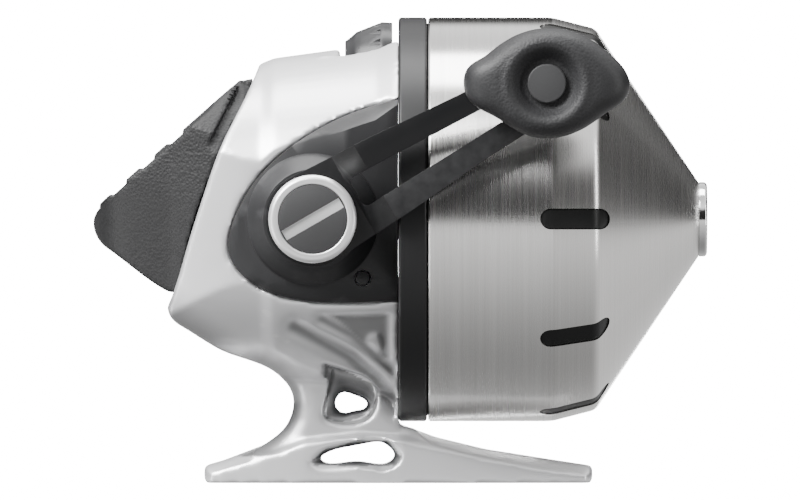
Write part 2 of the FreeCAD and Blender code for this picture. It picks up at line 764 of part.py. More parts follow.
def knob_axle():
    """Rivet on the arm that the knob spins on, with a flat head in the dish."""
    head = "-knob_back - knob_depth + 1.9"
    body = turned("knob_axle", "y", [
        ("-arm_clear - arm_thick", 0), ("-arm_clear - arm_thick", 3.2),
        ("-arm_clear - arm_thick - 0.6", 3.2), ("-arm_clear - arm_thick - 0.6", "axle_radius"),
        (head, "axle_radius"), (head, 2.9), ("%s - 0.9" % head, 2.9), ("%s - 0.9" % head, 0)])
    return keep(at_knob(body), "knob_axle")


# ---- body shapes shared by the housing, its side plates and the button ------------------

def tail_width(x, inset):
    """Half width of the housing at x; behind tail_start the sides close in on an arc."""
    behind = max(0.0, -x - value("tail_start"))
    radius = value("tail_radius") - inset
    return value("side_width - tail_radius") + math.sqrt(radius ** 2 - behind ** 2)


def pod(name, inset):
    """The housing's round form, drawn in by a wall: barrel, plan and scooped flanks."""
    barrel = on_reel_axis(turned(name + "_barrel", "x", [
        (0, 0), (0, 27.9 - inset), (-3.4, 26.5 - inset), (-8.3, 25.6 - inset),
        (-18.6, 24.2 - inset), (-20.6, 23.4 - inset), (-36, 22.4 - inset), (-36, 0)]))
    start = -value("tail_start")
    tail = [(x, tail_width(x, inset)) for x in (start, -21, -26, -31, -36)]
    mirrored = [(x, -y) for x, y in tail[::-1]]
    wide = tail[0][1]
    plan = slab(name + "_plan", "XY_Plane", [
        [(0, wide), tail[0]], tail, [tail[-1], mirrored[0]], mirrored,
        [mirrored[-1], (0, -wide)], [(0, -wide), (0, wide)]], 160.0)
    flank = [(wide, 30.5), (19.6 - inset, 25.4), (14 - inset, 19.6), (8.6 - inset, 14.6), (6.5, 10)]
    other = [(-y, z) for y, z in flank[::-1]]
    front = slab(name + "_front", "YZ_Plane", [
        flank, [flank[-1], (6.5, 5)], [(6.5, 5), (-6.5, 5)], [(-6.5, 5), other[0]], other,
        [other[-1], (-wide, 70)], [(-wide, 70), (wide, 70)], [(wide, 70), flank[0]]], 90.0)
    return shared(name, [barrel, plan, front])


PLATE_EDGE = [(0, 57.45), (-7.1, 55.4), (-13.8, 52.0), (-20.8, 46.1), (-24.75, 39.3),
              (-25.4, 34.3), (-22.2, 30.1), (-15.5, 27.45), (-7.1, 26.9), (0, 27.2)]
PLATE_MIDDLE = (-10.0, 41.0)


def plate_outline(name, gap, side):
    """The side plate's outline, drawn in by a gap, padded outwards on one side."""
    spots = []
    for x, z in PLATE_EDGE:
        reach = math.hypot(x - PLATE_MIDDLE[0], z - PLATE_MIDDLE[1])
        shrink = 1 - gap / reach
        spots.append((PLATE_MIDDLE[0] + (x - PLATE_MIDDLE[0]) * shrink,
                      PLATE_MIDDLE[1] + (z - PLATE_MIDDLE[1]) * shrink))
    body = new_body(name)
    sketch = new_sketch(body, "XZ_Plane", 5)
    if side > 0:
        sketch.setExpression("AttachmentOffset.Base.z", "-30")
    outline(sketch, [spots, [spots[-1], spots[0]]])
    feature(body, "Pad", sketch, Length=25.0)
    return body


skin = pod("skin", 0.0)
under_plate = pod("under_plate", value("plate_depth"))


def side_plate():
    """Near side plate, flush in the housing, with a raised boss round the crank."""
    panel = less("near_panel", shared("near_panel_blank", [skin, plate_outline("near_edge", 0.15, -1)]),
                 under_plate)
    boss = on_crank_axis(turned("plate_boss", "y", [
        (-20.9, 0), (-20.9, 9.8), (-22.2, 9.8), (-25.2, 7.4), (-25.2, 0)]))
    cuts = joined("plate_cuts", [
        rod("plate_bore", "4.5 + run_gap", -27, 10, "y", ("-crank_offset", "axis_height")),
        rod("peg_hole", "1.26", -27, 10, "y", PAWL_PIVOT)])
    return keep(less("near_plate", joined("near_plate_blank", [panel, boss]), cuts), "side_plate")


FAR_SCREWS = [(-4.5, 52.0), (-4.5, 31.0), (-21.0, 37.0)]


def far_side_plate():
    """Plain side plate on the far side, held by three screws."""
    panel = less("far_panel", shared("far_panel_blank", [skin, plate_outline("far_edge", 0.15, 1)]),
                 under_plate)
    holes = [rod("far_hole_%d" % i, "1.15", 15, 10, "y", spot) for i, spot in enumerate(FAR_SCREWS)]
    holes += [rod("far_seat_%d" % i, "2.2", far_screw_face(*spot) - 0.5, 5, "y", spot)
              for i, spot in enumerate(FAR_SCREWS)]
    return keep(less("far_plate", panel, joined("far_holes", holes)), "far_side_plate")


def far_screw_face(x, z):
    """Where the housing's far surface lies beside a screw."""
    return min(tail_width(x, 0), math.sqrt(25.6 ** 2 - (z - value("axis_height")) ** 2))


def far_plate_screws():
    screws = []
    for number, (x, z) in enumerate(FAR_SCREWS):
        face = far_screw_face(x, z) + 0.5
        screw = turned("far_screw_%d" % number, "y", [
            (face - 4.5, 0), (face, 0), (face, 1.6), (face - 0.5, 2.1), (face - 0.9, 2.1),
            (face - 0.9, 1.1), (face - 4.5, 1.1)])
        screws.append(place(screw, x, 0, z))
    return keep(joined("far_screw_set", screws), "far_plate_screws")


# ---- reel body ---------------------------------------------------------------------------

def side_profile():
    """Side view of the housing: the slanted rear opening and the rising underside."""
    return slab("side_profile", "XZ_Plane", [
        [(0, 9), (0, 70)], [(0, 70), (-20.6, 63.6)],
        [(-20.6, 63.6), (-21.7, 60.4), (-23.6, 56.2), (-26.4, 50.5), (-28.6, 44.5),
         (-31.6, 35.1), (-33.6, 28.5), (-34.5, 26.4)],
        [(-34.5, 26.4), (-33.9, 24.7), (-31.6, 23.0), (-26.3, 19.8), (-20.5, 17.7),
         (-17.2, 15.4), (-16.0, 12.4)],
        [(-16.0, 12.4), (0, 9)]], 80.0)


def stem():
    """Stem between the housing and the foot."""
    return slab("stem", "XZ_Plane", [
        [(0, 28), (0, 8.7)], [(0, 8.7), (2.5, 8.1)], [(2.5, 8.1), (6.0, 5.0)],
        [(6.0, 5.0), (0, 1.5)], [(0, 1.5), (-16, 1.5)], [(-16, 1.5), (-22, 4.4)],
        [(-22, 4.4), (-20.5, 5.5), (-18.6, 6.8), (-17.1, 8.2), (-16.1, 10), (-15.7, 11.9),
         (-15.9, 13.4), (-16.7, 14.9), (-18.2, 16.5), (-20.5, 17.7)],
        [(-20.5, 17.7), (-22, 22)], [(-22, 22), (0, 28)]], value("neck_width"))


FOOT_SECTIONS = [(-29.1, 0.72, 1.2, 2.6), (-26.3, 0.80, 2.0, 3.4), (-20.5, 0.90, 3.6, 5.6),
                 (-14.0, 0.98, 5.8, 8.6), (-6.0, 1.0, 6.6, 9.2), (0.8, 1.0, 6.4, 8.65),
                 (5.6, 0.98, 5.4, 6.9), (13.0, 0.94, 3.7, 5.1), (22.5, 0.85, 1.95, 3.6),
                 (29.1, 0.72, 1.1, 2.6)]


def foot():
    """Crowned reel foot, thick under the stem and thin at both ends."""
    body = new_body("foot")
    sections = []
    for x, share, edge, ridge in FOOT_SECTIONS:
        half = value("foot_width") / 2 * share
        sketch = new_sketch(body, "YZ_Plane", x * value("foot_length") / 58.2)
        low, high = FreeCAD.Vector(half, -1, 0), FreeCAD.Vector(half, edge, 0)
        left_low, left_high = FreeCAD.Vector(-half, -1, 0), FreeCAD.Vector(-half, edge, 0)
        sketch.addGeometry(Part.LineSegment(left_low, low), False)
        sketch.addGeometry(Part.LineSegment(low, high), False)
        sketch.addGeometry(Part.Arc(high, FreeCAD.Vector(0, ridge, 0), left_high), False)
        sketch.addGeometry(Part.LineSegment(left_high, left_low), False)
        sections.append(sketch)
    loft = body.newObject("PartDesign::AdditiveLoft", "foot_loft")
    loft.Profile = (sections[0], [""])
    loft.Sections = sections[1:]
    loft.Ruled = True
    plan = slab("foot_plan", "XY_Plane", [
        [(-25, 8), (25, 8)], [(25, 8), (28.0, 6.0), (29.1, 2.4)], [(29.1, 2.4), (29.1, -2.4)],
        [(29.1, -2.4), (28.0, -6.0), (25, -8)], [(25, -8), (-25, -8)],
        [(-25, -8), (-28.0, -6.0), (-29.1, -2.4)], [(-29.1, -2.4), (-29.1, 2.4)],
        [(-29.1, 2.4), (-28.0, 6.0), (-25, 8)]], 40.0)
    above = block("foot_above", (-40, -20, 0), (40, 20, 20))
    return shared("foot_shape", [body, plan, above])


def flared_hole(name, through, rim, flare):
    """A hole across the stem with a wider, shallow rim on both sides."""
    core = slab(name + "_core", "XZ_Plane", [through + [through[0]]], 40.0)
    wide = slab(name + "_rim", "XZ_Plane", [rim + [rim[0]]], 40.0)
    middle = block(name + "_middle", (-40, -flare, 0), (20, flare, 30))
    return joined(name, [core, less(name + "_flare", wide, middle)])


def reel_body():
    """Cast housing with stem and foot in one piece."""
    outer = joined("outer", [shared("shell", [skin, side_profile()]), stem(), foot()])
    floor = block("floor", (-40, -30, 26.2), (0, 30, 70))
    cavity = shared("cavity", [pod("hollow", value("wall_thick")), floor])
    recesses = less("recesses", joined("plate_edges", [
        plate_outline("near_recess", 0.0, -1), plate_outline("far_recess", 0.0, 1)]), under_plate)
    window = block("wheel_window", (-8.7, -7, 59), (1, 7, 75))
    upper = flared_hole("upper_hole", [
        (-9.2, 12.9), (-8.3, 13.65), (-6.7, 13.2), (-5.0, 12.5), (-4.5, 11.85),
        (-4.9, 11.2), (-6.7, 10.8), (-8.2, 10.4), (-9.0, 10.8)], [
        (-11.1, 17.9), (-8.1, 17.0), (-3.8, 14.9), (-3.2, 12.6), (-4.2, 10.0),
        (-8.9, 9.0), (-10.9, 9.6), (-10.7, 13.0)], 4.9)
    lower = flared_hole("lower_hole", [
        (-12.1, 3.6), (-11.1, 4.35), (-7.9, 5.4), (-5.1, 5.9), (-2.1, 6.0), (-1.3, 5.4),
        (-0.5, 4.1), (-1.1, 3.3), (-6.0, 3.25), (-11.6, 3.25)], [
        (-13.3, 3.2), (-11.1, 5.1), (-6.8, 6.2), (-1.6, 6.4), (0.5, 4.0), (-0.4, 2.6),
        (-6.5, 2.55), (-12.5, 2.6)], 6.9)
    hollowed = less("hollowed", outer, joined("openings", [cavity, recesses, window]))
    spots = [(across, "axis_height + (%s)" % up) for across, up in SCREW_SPOTS]
    posts = [rod("post_%d" % i, "2.8", -9, 9, "x", spot) for i, spot in enumerate(spots)]
    bearing = rod("bearing", "6.6", -20.6, 10.8, "y", ("-crank_offset", "axis_height"))
    pawl_post = rod("pawl_post", "2.2", -20.6, 11.2, "y", PAWL_PIVOT)
    bracket = block("bracket", (-11.6, -7, 59.5), (-8.9, 7, 64.0))
    inner = shared("inner_fittings", [joined("fittings", posts + [bearing, pawl_post]), under_plate])
    solid = joined("solid", [joined("fitted", [hollowed, inner]), bracket])
    bores = [rod("post_bore_%d" % i, "1.5", -4.2, 5, "x", spot) for i, spot in enumerate(spots)]
    bores += [
        rod("bearing_bore", "4.5", -30, 21, "y", ("-crank_offset", "axis_height")),
        rod("pawl_bore", "1.0", -30, 25, "y", PAWL_PIVOT),
        rod("pivot_bore", "pivot_radius", -13.4, 26.8, "y", ("pivot_x", "pivot_z")),
        rod("wheel_bore", "1.5 + run_gap", -10.7, 3, "x", (0, "axis_height + wheel_height"))]
    bores += [rod("far_bore_%d" % i, "1.1", 15, 10, "y", spot) for i, spot in enumerate(FAR_SCREWS)]
    cuts = joined("bores", bores + [upper, lower])
    return keep(less("reel_body_cut", solid, cuts), "reel_body")


# ---- thumb button ------------------------------------------------------------------------

def button_pin():
    pin = rod("button_pin", "pivot_radius", -13.4, 26.8, "y", ("pivot_x", "pivot_z"))
    return keep(pin, "button_pin")


def thumb_button():
    """Wedge that swings on its pin and pushes the main shaft; ribbed inside, open in front."""
    inset = value("wall_thick + button_gap + 0.1")
    side = slab("button_side", "XZ_Plane", [
        [(-21.9, 60.6), (-23.1, 60.4)], [(-23.1, 60.4), (-31.1, 53.3)],
        [(-31.1, 53.3), (-36.9, 48.2), (-41.3, 44.3), (-44.8, 41.1)],
        [(-44.8, 41.1), (-45.7, 38.9), (-45.3, 37.2), (-43.8, 35.3)],
        [(-43.8, 35.3), (-40.8, 33.1), (-37.1, 30.3), (-34.3, 28.6)],
        [(-34.3, 28.6), (-32.3, 28.5)], [(-32.3, 28.5), (-30.4, 39.5), (-27.2, 48.0), (-24.6, 54.2)],
        [(-24.6, 54.2), (-19, 54.2)],
        [(-19, 54.2), (-17.2, 55.2), (-16.6, 57.0), (-17.4, 58.8), (-19.5, 59.3)],
        [(-19.5, 59.3), (-21.8, 59.2)], [(-21.8, 59.2), (-21.9, 60.6)]], 60.0)
    sides = [(x, tail_width(x, inset)) for x in (-16, -22, -28, -34)]
    tail = [sides[-1], (-39.5, 12.2), (-43.6, 9.6), (-45.6, 5.4), (-45.9, 0),
            (-45.6, -5.4), (-43.6, -9.6), (-39.5, -12.2), (-34, -sides[-1][1])]
    other = [(x, -y) for x, y in sides[::-1]]
    plan = slab("button_plan", "XY_Plane", [
        sides, tail, other, [other[-1], sides[0]]], 160.0)
    crown = on_reel_axis(turned("button_crown", "x", [
        (-15, 0), (-15, 21.25), (-48, 21.25), (-48, 0)]))
    rim_tube = on_reel_axis(turned("rim_tube", "x", [(-50, 19.9), (-14, 19.9), (-14, 40), (-50, 40)]))
    rim = less("rim_way", shared("rim_blank", [place(side_profile(), -2.0, 0, 0), rim_tube]),
               block("rim_keep", (-50, -3.8, 50), (-21.85, 3.8, 80)))
    wedge = less("button_wedge", shared("button_blank", [side, plan, crown]), rim)
    inside = slab("button_inside", "XZ_Plane", [
        [(-24.6, 52.6), (-31.4, 50.0)], [(-31.4, 50.0), (-42.4, 39.6)],
        [(-42.4, 39.6), (-42.2, 37.4)], [(-42.2, 37.4), (-34.6, 31.2)],
        [(-34.6, 31.2), (-26, 31.2)], [(-26, 31.2), (-24.6, 52.6)]], 60.0)
    pockets = [shared("button_pocket_%d" % i, [
        inside, block("button_room_%d" % i, (-60, low, 0), (0, high, 80))])
        for i, (low, high) in enumerate(((-9.5, -2.6), (2.6, 9.5)))]
    bore = rod("button_bore", "pivot_radius + run_gap", -25, 50, "y", ("pivot_x", "pivot_z"))
    return keep(less("button_cut", wedge, joined("button_cuts", pockets + [bore])), "thumb_button")


# ---- build, check and write --------------------------------------------------------------

MAKERS = [
    reel_body, side_plate, far_side_plate, far_plate_screws, deck_ring, deck_screws,
    front_cover, cover_liner, nose_ring, brake_ring, pinion_bushing, spool, line_winding,
    spool_clip, drag_wheel, drag_screw, drag_shoe, main_shaft, shaft_clip, shaft_spring, pinion,
    spinner_head, spinner_nut, pickup_pin, crank_shaft, crank_bushing, handle_washer,
    drive_gear, ratchet_wheel, anti_reverse_pawl, pawl_pin, handle_arm, handle_nut, nut_disc,
    handle_knob, knob_axle, button_pin, thumb_button]

for maker in MAKERS:
    maker()
doc.recompute()

problems = [item.Name for item in doc.Objects if {"Invalid", "Error"} & set(item.State)]
for part in sub_parts:
    if part.Shape.isNull() or not part.Shape.isValid() or not part.Shape.Solids:
        problems.append(part.Label)
if problems:
    raise RuntimeError("failed: " + ", ".join(problems))

os.makedirs("parts", exist_ok=True)
for part in sub_parts:
    part.Shape.exportStep("parts/%s.step" % part.Label)
    print("%-20s solids %d volume %9.1f" % (part.Label, len(part.Shape.Solids), part.Shape.Volume))
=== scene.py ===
import json
import math

import bmesh
import bpy
import numpy as np
from mathutils import Matrix, Vector


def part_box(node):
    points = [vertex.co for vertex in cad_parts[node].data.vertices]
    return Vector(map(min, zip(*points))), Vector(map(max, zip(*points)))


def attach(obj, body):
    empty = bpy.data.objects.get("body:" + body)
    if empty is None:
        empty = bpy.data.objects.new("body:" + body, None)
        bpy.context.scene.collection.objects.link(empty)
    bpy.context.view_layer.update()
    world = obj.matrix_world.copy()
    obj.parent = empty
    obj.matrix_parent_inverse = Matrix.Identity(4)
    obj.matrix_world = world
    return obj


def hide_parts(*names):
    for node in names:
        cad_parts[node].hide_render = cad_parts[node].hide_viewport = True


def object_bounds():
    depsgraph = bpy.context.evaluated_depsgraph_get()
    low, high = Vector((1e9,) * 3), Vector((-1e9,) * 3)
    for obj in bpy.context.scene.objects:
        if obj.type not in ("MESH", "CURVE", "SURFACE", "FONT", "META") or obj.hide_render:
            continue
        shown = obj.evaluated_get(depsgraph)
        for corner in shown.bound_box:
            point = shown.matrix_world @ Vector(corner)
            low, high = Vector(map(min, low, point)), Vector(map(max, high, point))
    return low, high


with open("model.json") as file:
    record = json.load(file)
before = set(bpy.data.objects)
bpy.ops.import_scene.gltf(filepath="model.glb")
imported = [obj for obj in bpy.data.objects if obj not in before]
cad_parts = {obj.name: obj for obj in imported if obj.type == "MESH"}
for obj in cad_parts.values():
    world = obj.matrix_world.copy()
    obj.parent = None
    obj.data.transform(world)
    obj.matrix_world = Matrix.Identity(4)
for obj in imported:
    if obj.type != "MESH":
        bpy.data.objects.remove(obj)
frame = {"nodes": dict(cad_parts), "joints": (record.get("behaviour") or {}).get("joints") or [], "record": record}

cad_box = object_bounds()
MM = 0.001
RECORD = frame["record"]
MOUNTS = {mount["name"]: mount for mount in RECORD["mounts"]}
JOINTS = {joint["name"]: joint for joint in frame["joints"]}
BODY_OF = {}
for body_name, members in RECORD["behaviour"]["bodies"].items():
    for member in members:
        BODY_OF[member] = body_name


# The studio: a glowing white card behind the reel, a big softbox high on the left, a strip on the
# right and a dark belt at eye level. The lens is very long, so perspective is almost nil.

LENS = 1000.0
SENSOR_WIDTH = 36.0
VIEW_WIDTH = 0.120
VIEW_CENTRE = (0.24 * MM, 34.9 * MM)
CARD_DISTANCE = 1.6
CARD_SIZE = (0.56, 0.40)
CARD_GLOW = 16.0
SKY_TONES = [(0.0, 0.30), (0.30, 0.8), (0.47, 1.1), (0.497, 0.02), (0.72, 0.04), (0.80, 1.7), (1.0, 1.0)]
REEL_MIDDLE = [(low + high) / 2 for low, high in zip(*cad_box)]


def build_card():
    width, height = CARD_SIZE
    mesh = bpy.data.meshes.new("white_card")
    mesh.from_pydata([(side * width / 2, CARD_DISTANCE, REEL_MIDDLE[2] + up * height / 2)
                      for side, up in ((-1, -1), (-1, 1), (1, 1), (1, -1))], [], [(0, 1, 2, 3)])
    card = bpy.data.objects.new("white_card", mesh)
    bpy.context.scene.collection.objects.link(card)
    paper = bpy.data.materials.new("card_glow")
    paper.use_nodes = True
    shader = paper.node_tree.nodes["Principled BSDF"]
    shader.inputs["Base Color"].default_value = (0.9, 0.9, 0.9, 1)
    shader.inputs["Emission Color"].default_value = (1, 1, 1, 1)
    shader.inputs["Emission Strength"].default_value = CARD_GLOW
    mesh.materials.append(paper)


def area_light(name, place, size, power):
    lamp = bpy.data.lights.new(name, "AREA")
    lamp.shape = "RECTANGLE"
    lamp.size, lamp.size_y = size
    lamp.energy = power
    holder = bpy.data.objects.new(name, lamp)
    holder.location = place
    aim = Vector(REEL_MIDDLE) - Vector(place)
    holder.rotation_euler = aim.to_track_quat("-Z", "Y").to_euler()
    bpy.context.scene.collection.objects.link(holder)


def studio_world():
    world = bpy.data.worlds.new("studio_air")
    bpy.context.scene.world = world
    world.use_nodes = True
    nodes, links = world.node_tree.nodes, world.node_tree.links
    direction = nodes.new("ShaderNodeTexCoord")
    parts = nodes.new("ShaderNodeSeparateXYZ")
    tones = nodes.new("ShaderNodeValToRGB")
    spread = nodes.new("ShaderNodeMapRange")
    spread.inputs["From Min"].default_value = -1.0
    links.new(direction.outputs["Generated"], parts.inputs["Vector"])
    links.new(parts.outputs["Z"], spread.inputs["Value"])
    links.new(spread.outputs["Result"], tones.inputs["Fac"])
    ends = tones.color_ramp.elements
    for end, (position, level) in zip(ends, (SKY_TONES[0], SKY_TONES[-1])):
        end.position = position
        end.color = (level, level, level, 1)
    for position, level in SKY_TONES[1:-1]:
        ends.new(position).color = (level, level, level, 1)
    links.new(tones.outputs["Color"], nodes["Background"].inputs["Color"])
    nodes["Background"].inputs["Strength"].default_value = 1.0


build_card()
studio_world()
area_light("high_left_box", (-0.45, -0.40, 0.55), (0.45, 0.45), 20.0)
area_light("overhead_box", (0.0, 0.05, 0.70), (0.6, 0.3), 7.0)
area_light("right_strip", (0.80, -0.30, 0.20), (0.12, 0.7), 2.5)
area_light("low_left_strip", (-0.70, -0.30, -0.12), (0.12, 0.5), 1.5)

lens = bpy.data.cameras.new("side_camera")
lens.lens = LENS
lens.sensor_width = SENSOR_WIDTH
lens.clip_end = 20.0
camera = bpy.data.objects.new("side_camera", lens)
camera.location = (VIEW_CENTRE[0], -VIEW_WIDTH * LENS / SENSOR_WIDTH, VIEW_CENTRE[1])
camera.rotation_euler = (math.pi / 2, 0, 0)
bpy.context.scene.collection.objects.link(camera)
bpy.context.scene.camera = camera


# The housing: one aluminium casting with its stem and foot, bead-blasted and painted satin silver.
# Its edges are soft from the mould. The stem is fluted and pierced twice to save weight.

REEL_AXIS = Vector(JOINTS["pinion_spin"]["pos_m"])


def shader_group(name, inputs, outputs):
    """A node group with named number inputs and outputs; returns it with its two end nodes."""
    group = bpy.data.node_groups.new(name, "ShaderNodeTree")
    for label, start in inputs:
        socket = group.interface.new_socket(label, in_out="INPUT", socket_type="NodeSocketFloat")
        socket.default_value = start
    for label in outputs:
        group.interface.new_socket(label, in_out="OUTPUT", socket_type="NodeSocketFloat")
    return group, group.nodes.new("NodeGroupInput"), group.nodes.new("NodeGroupOutput")


def blast_grain_group():
    """Fine grain height and a slow mottle, both from Object coordinates."""
    group, inlet, outlet = shader_group("blast_grain", [("Scale", 3000.0)], ["Height", "Mottle"])
    nodes, links = group.nodes, group.links
    spot = nodes.new("ShaderNodeTexCoord")
    fine = nodes.new("ShaderNodeTexNoise")
    fine.inputs["Detail"].default_value = 2.0
    slow = nodes.new("ShaderNodeTexNoise")
    slow.inputs["Scale"].default_value = 110.0
    slow.inputs["Detail"].default_value = 3.0
    links.new(spot.outputs["Object"], fine.inputs["Vector"])
    links.new(spot.outputs["Object"], slow.inputs["Vector"])
    links.new(inlet.outputs["Scale"], fine.inputs["Scale"])
    links.new(fine.outputs["Fac"], outlet.inputs["Height"])
    links.new(slow.outputs["Fac"], outlet.inputs["Mottle"])
    return group


def edge_wear_group():
    """A mask that is 1 on convex edges, broken up by noise."""
    group, inlet, outlet = shader_group("edge_wear", [("Start", 0.52), ("End", 0.60)], ["Mask"])
    nodes, links = group.nodes, group.links
    surface = nodes.new("ShaderNodeNewGeometry")
    spot = nodes.new("ShaderNodeTexCoord")
    noise = nodes.new("ShaderNodeTexNoise")
    noise.inputs["Scale"].default_value = 700.0
    stretch = nodes.new("ShaderNodeMapRange")
    product = nodes.new("ShaderNodeMath")
    product.operation = "MULTIPLY"
    links.new(spot.outputs["Object"], noise.inputs["Vector"])
    links.new(surface.outputs["Pointiness"], stretch.inputs["Value"])
    links.new(inlet.outputs["Start"], stretch.inputs["From Min"])
    links.new(inlet.outputs["End"], stretch.inputs["From Max"])
    links.new(stretch.outputs["Result"], product.inputs[0])
    links.new(noise.outputs["Fac"], product.inputs[1])
    links.new(product.outputs["Value"], outlet.inputs["Mask"])
    return group


BLAST_GRAIN = blast_grain_group()
EDGE_WEAR = edge_wear_group()


def finish_material(name, colour, worn, roughness, metallic, grain=3000.0, relief=0.02, mottle=0.12,
                    wear=(0.53, 0.62), rough_spread=0.08, shine=0.5, painted_shade_tone=None):
    """A coated or moulded surface: mottled colour, fine grain, a second colour on its edges and,
    where the mesh has a hollow attribute, painted shade: a dark tone mixed in by that attribute."""
    made = bpy.data.materials.new(name)
    made.use_nodes = True
    nodes, links = made.node_tree.nodes, made.node_tree.links
    shader = nodes["Principled BSDF"]
    shader.inputs["Metallic"].default_value = metallic
    shader.inputs["Specular IOR Level"].default_value = shine
    surface = nodes.new("ShaderNodeGroup")
    surface.node_tree = BLAST_GRAIN
    surface.inputs["Scale"].default_value = grain
    edge = nodes.new("ShaderNodeGroup")
    edge.node_tree = EDGE_WEAR
    edge.inputs["Start"].default_value, edge.inputs["End"].default_value = wear
    tone = nodes.new("ShaderNodeMix")
    tone.data_type = "RGBA"
    tone.inputs[6].default_value = (*[channel * (1 - mottle) for channel in colour], 1)
    tone.inputs[7].default_value = (*[min(1, channel * (1 + mottle)) for channel in colour], 1)
    blend = nodes.new("ShaderNodeMix")
    blend.data_type = "RGBA"
    blend.inputs[7].default_value = (*worn, 1)
    spread = nodes.new("ShaderNodeMapRange")
    spread.inputs["To Min"].default_value = roughness - rough_spread
    spread.inputs["To Max"].default_value = roughness + rough_spread
    bump = nodes.new("ShaderNodeBump")
    bump.inputs["Distance"].default_value = relief * MM
    links.new(surface.outputs["Mottle"], tone.inputs[0])
    links.new(tone.outputs[2], blend.inputs[6])
    links.new(edge.outputs["Mask"], blend.inputs[0])
    # Painted shade: the mesh's hollow attribute mixes the colour towards a dark tone.
    if painted_shade_tone:
        hollow = nodes.new("ShaderNodeAttribute")
        hollow.attribute_name = "hollow"
        painted_dark = nodes.new("ShaderNodeMix")
        painted_dark.data_type = "RGBA"
        painted_dark.inputs[7].default_value = (*painted_shade_tone, 1)
        links.new(hollow.outputs["Fac"], painted_dark.inputs[0])
        links.new(blend.outputs[2], painted_dark.inputs[6])
        links.new(painted_dark.outputs[2], shader.inputs["Base Color"])
    else:
        links.new(blend.outputs[2], shader.inputs["Base Color"])
    links.new(surface.outputs["Mottle"], spread.inputs["Value"])
    links.new(spread.outputs["Result"], shader.inputs["Roughness"])
    links.new(surface.outputs["Height"], bump.inputs["Height"])
    links.new(bump.outputs["Normal"], shader.inputs["Normal"])
    return made


def new_object(name, mesh):
    made = bpy.data.objects.new(name, mesh)
    bpy.context.scene.collection.objects.link(made)
    return made


def merged_copy_data(node):
    """A copy of a CAD node's mesh with its loose triangles joined."""
    mesh = frame["nodes"][node].data.copy()
    mesh.materials.clear()
    work = bmesh.new()
    work.from_mesh(mesh)
    bmesh.ops.remove_doubles(work, verts=work.verts, dist=0.002 * MM)
    work.to_mesh(mesh)
    work.free()
    return mesh


def merged_copy(node, name):
    mesh = merged_copy_data(node)
    mesh.name = name
    return new_object(name, mesh)


def applied(piece):
    """Turn a piece with modifiers into a plain mesh."""
    graph = bpy.context.evaluated_depsgraph_get()
    result = bpy.data.meshes.new_from_object(piece.evaluated_get(graph))
    piece.modifiers.clear()
    piece.data = result
    return piece


def shade(piece, angle=30.0):
    """Smooth shading with edges over an angle kept sharp."""
    for face in piece.data.polygons:
        face.use_smooth = True
    piece.data.set_sharp_from_angle(angle=math.radians(angle))


def stand_for(piece, node, material):
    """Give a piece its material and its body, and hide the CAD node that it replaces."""
    piece.data.materials.clear()
    piece.data.materials.append(material)
    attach(piece, BODY_OF[node])
    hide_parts(node)


def cast_copy(node, name, voxel, passes):
    """A CAD node as one softly rounded casting: remeshed, then relaxed."""
    piece = merged_copy(node, name)
    remesh = piece.modifiers.new("cast", "REMESH")
    remesh.mode = "VOXEL"
    remesh.voxel_size = voxel * MM
    relax = piece.modifiers.new("relax", "SMOOTH")
    relax.factor = 0.5
    relax.iterations = passes
    return applied(piece)


def points_of(piece):
    spots = np.empty(len(piece.data.vertices) * 3)
    piece.data.vertices.foreach_get("co", spots)
    return spots.reshape(-1, 3)


def set_points(piece, spots):
    piece.data.vertices.foreach_set("co", spots.ravel())
    piece.data.update()


def set_values(piece, name, values):
    """Store one number per vertex."""
    layer = piece.data.attributes.new(name, "FLOAT", "POINT")
    layer.data.foreach_set("value", np.asarray(values, dtype=np.float32))


def line_distance(x, z, start, end):
    """Distance of points from a segment in the side view, in millimetres."""
    along = np.array(end, float) - np.array(start, float)
    share = ((x - start[0]) * along[0] + (z - start[1]) * along[1]) / along.dot(along)
    share = np.clip(share, 0, 1)
    return np.hypot(x - start[0] - share * along[0], z - start[1] - share * along[1])


def ramp(values, low, high):
    """Smooth 0 to 1 between two values."""
    share = np.clip((values - low) / (high - low), 0, 1)
    return share * share * (3 - 2 * share)


# The satin silver paint, with a near-black painted shade mixed in through the housing's hollow attribute.
SILVER = finish_material("satin_silver", (0.80, 0.80, 0.81), (0.92, 0.92, 0.92), 0.36, 0.65,
                         grain=5200.0, relief=0.012, mottle=0.04, wear=(0.54, 0.64), rough_spread=0.03,
                         painted_shade_tone=(0.03, 0.03, 0.032))

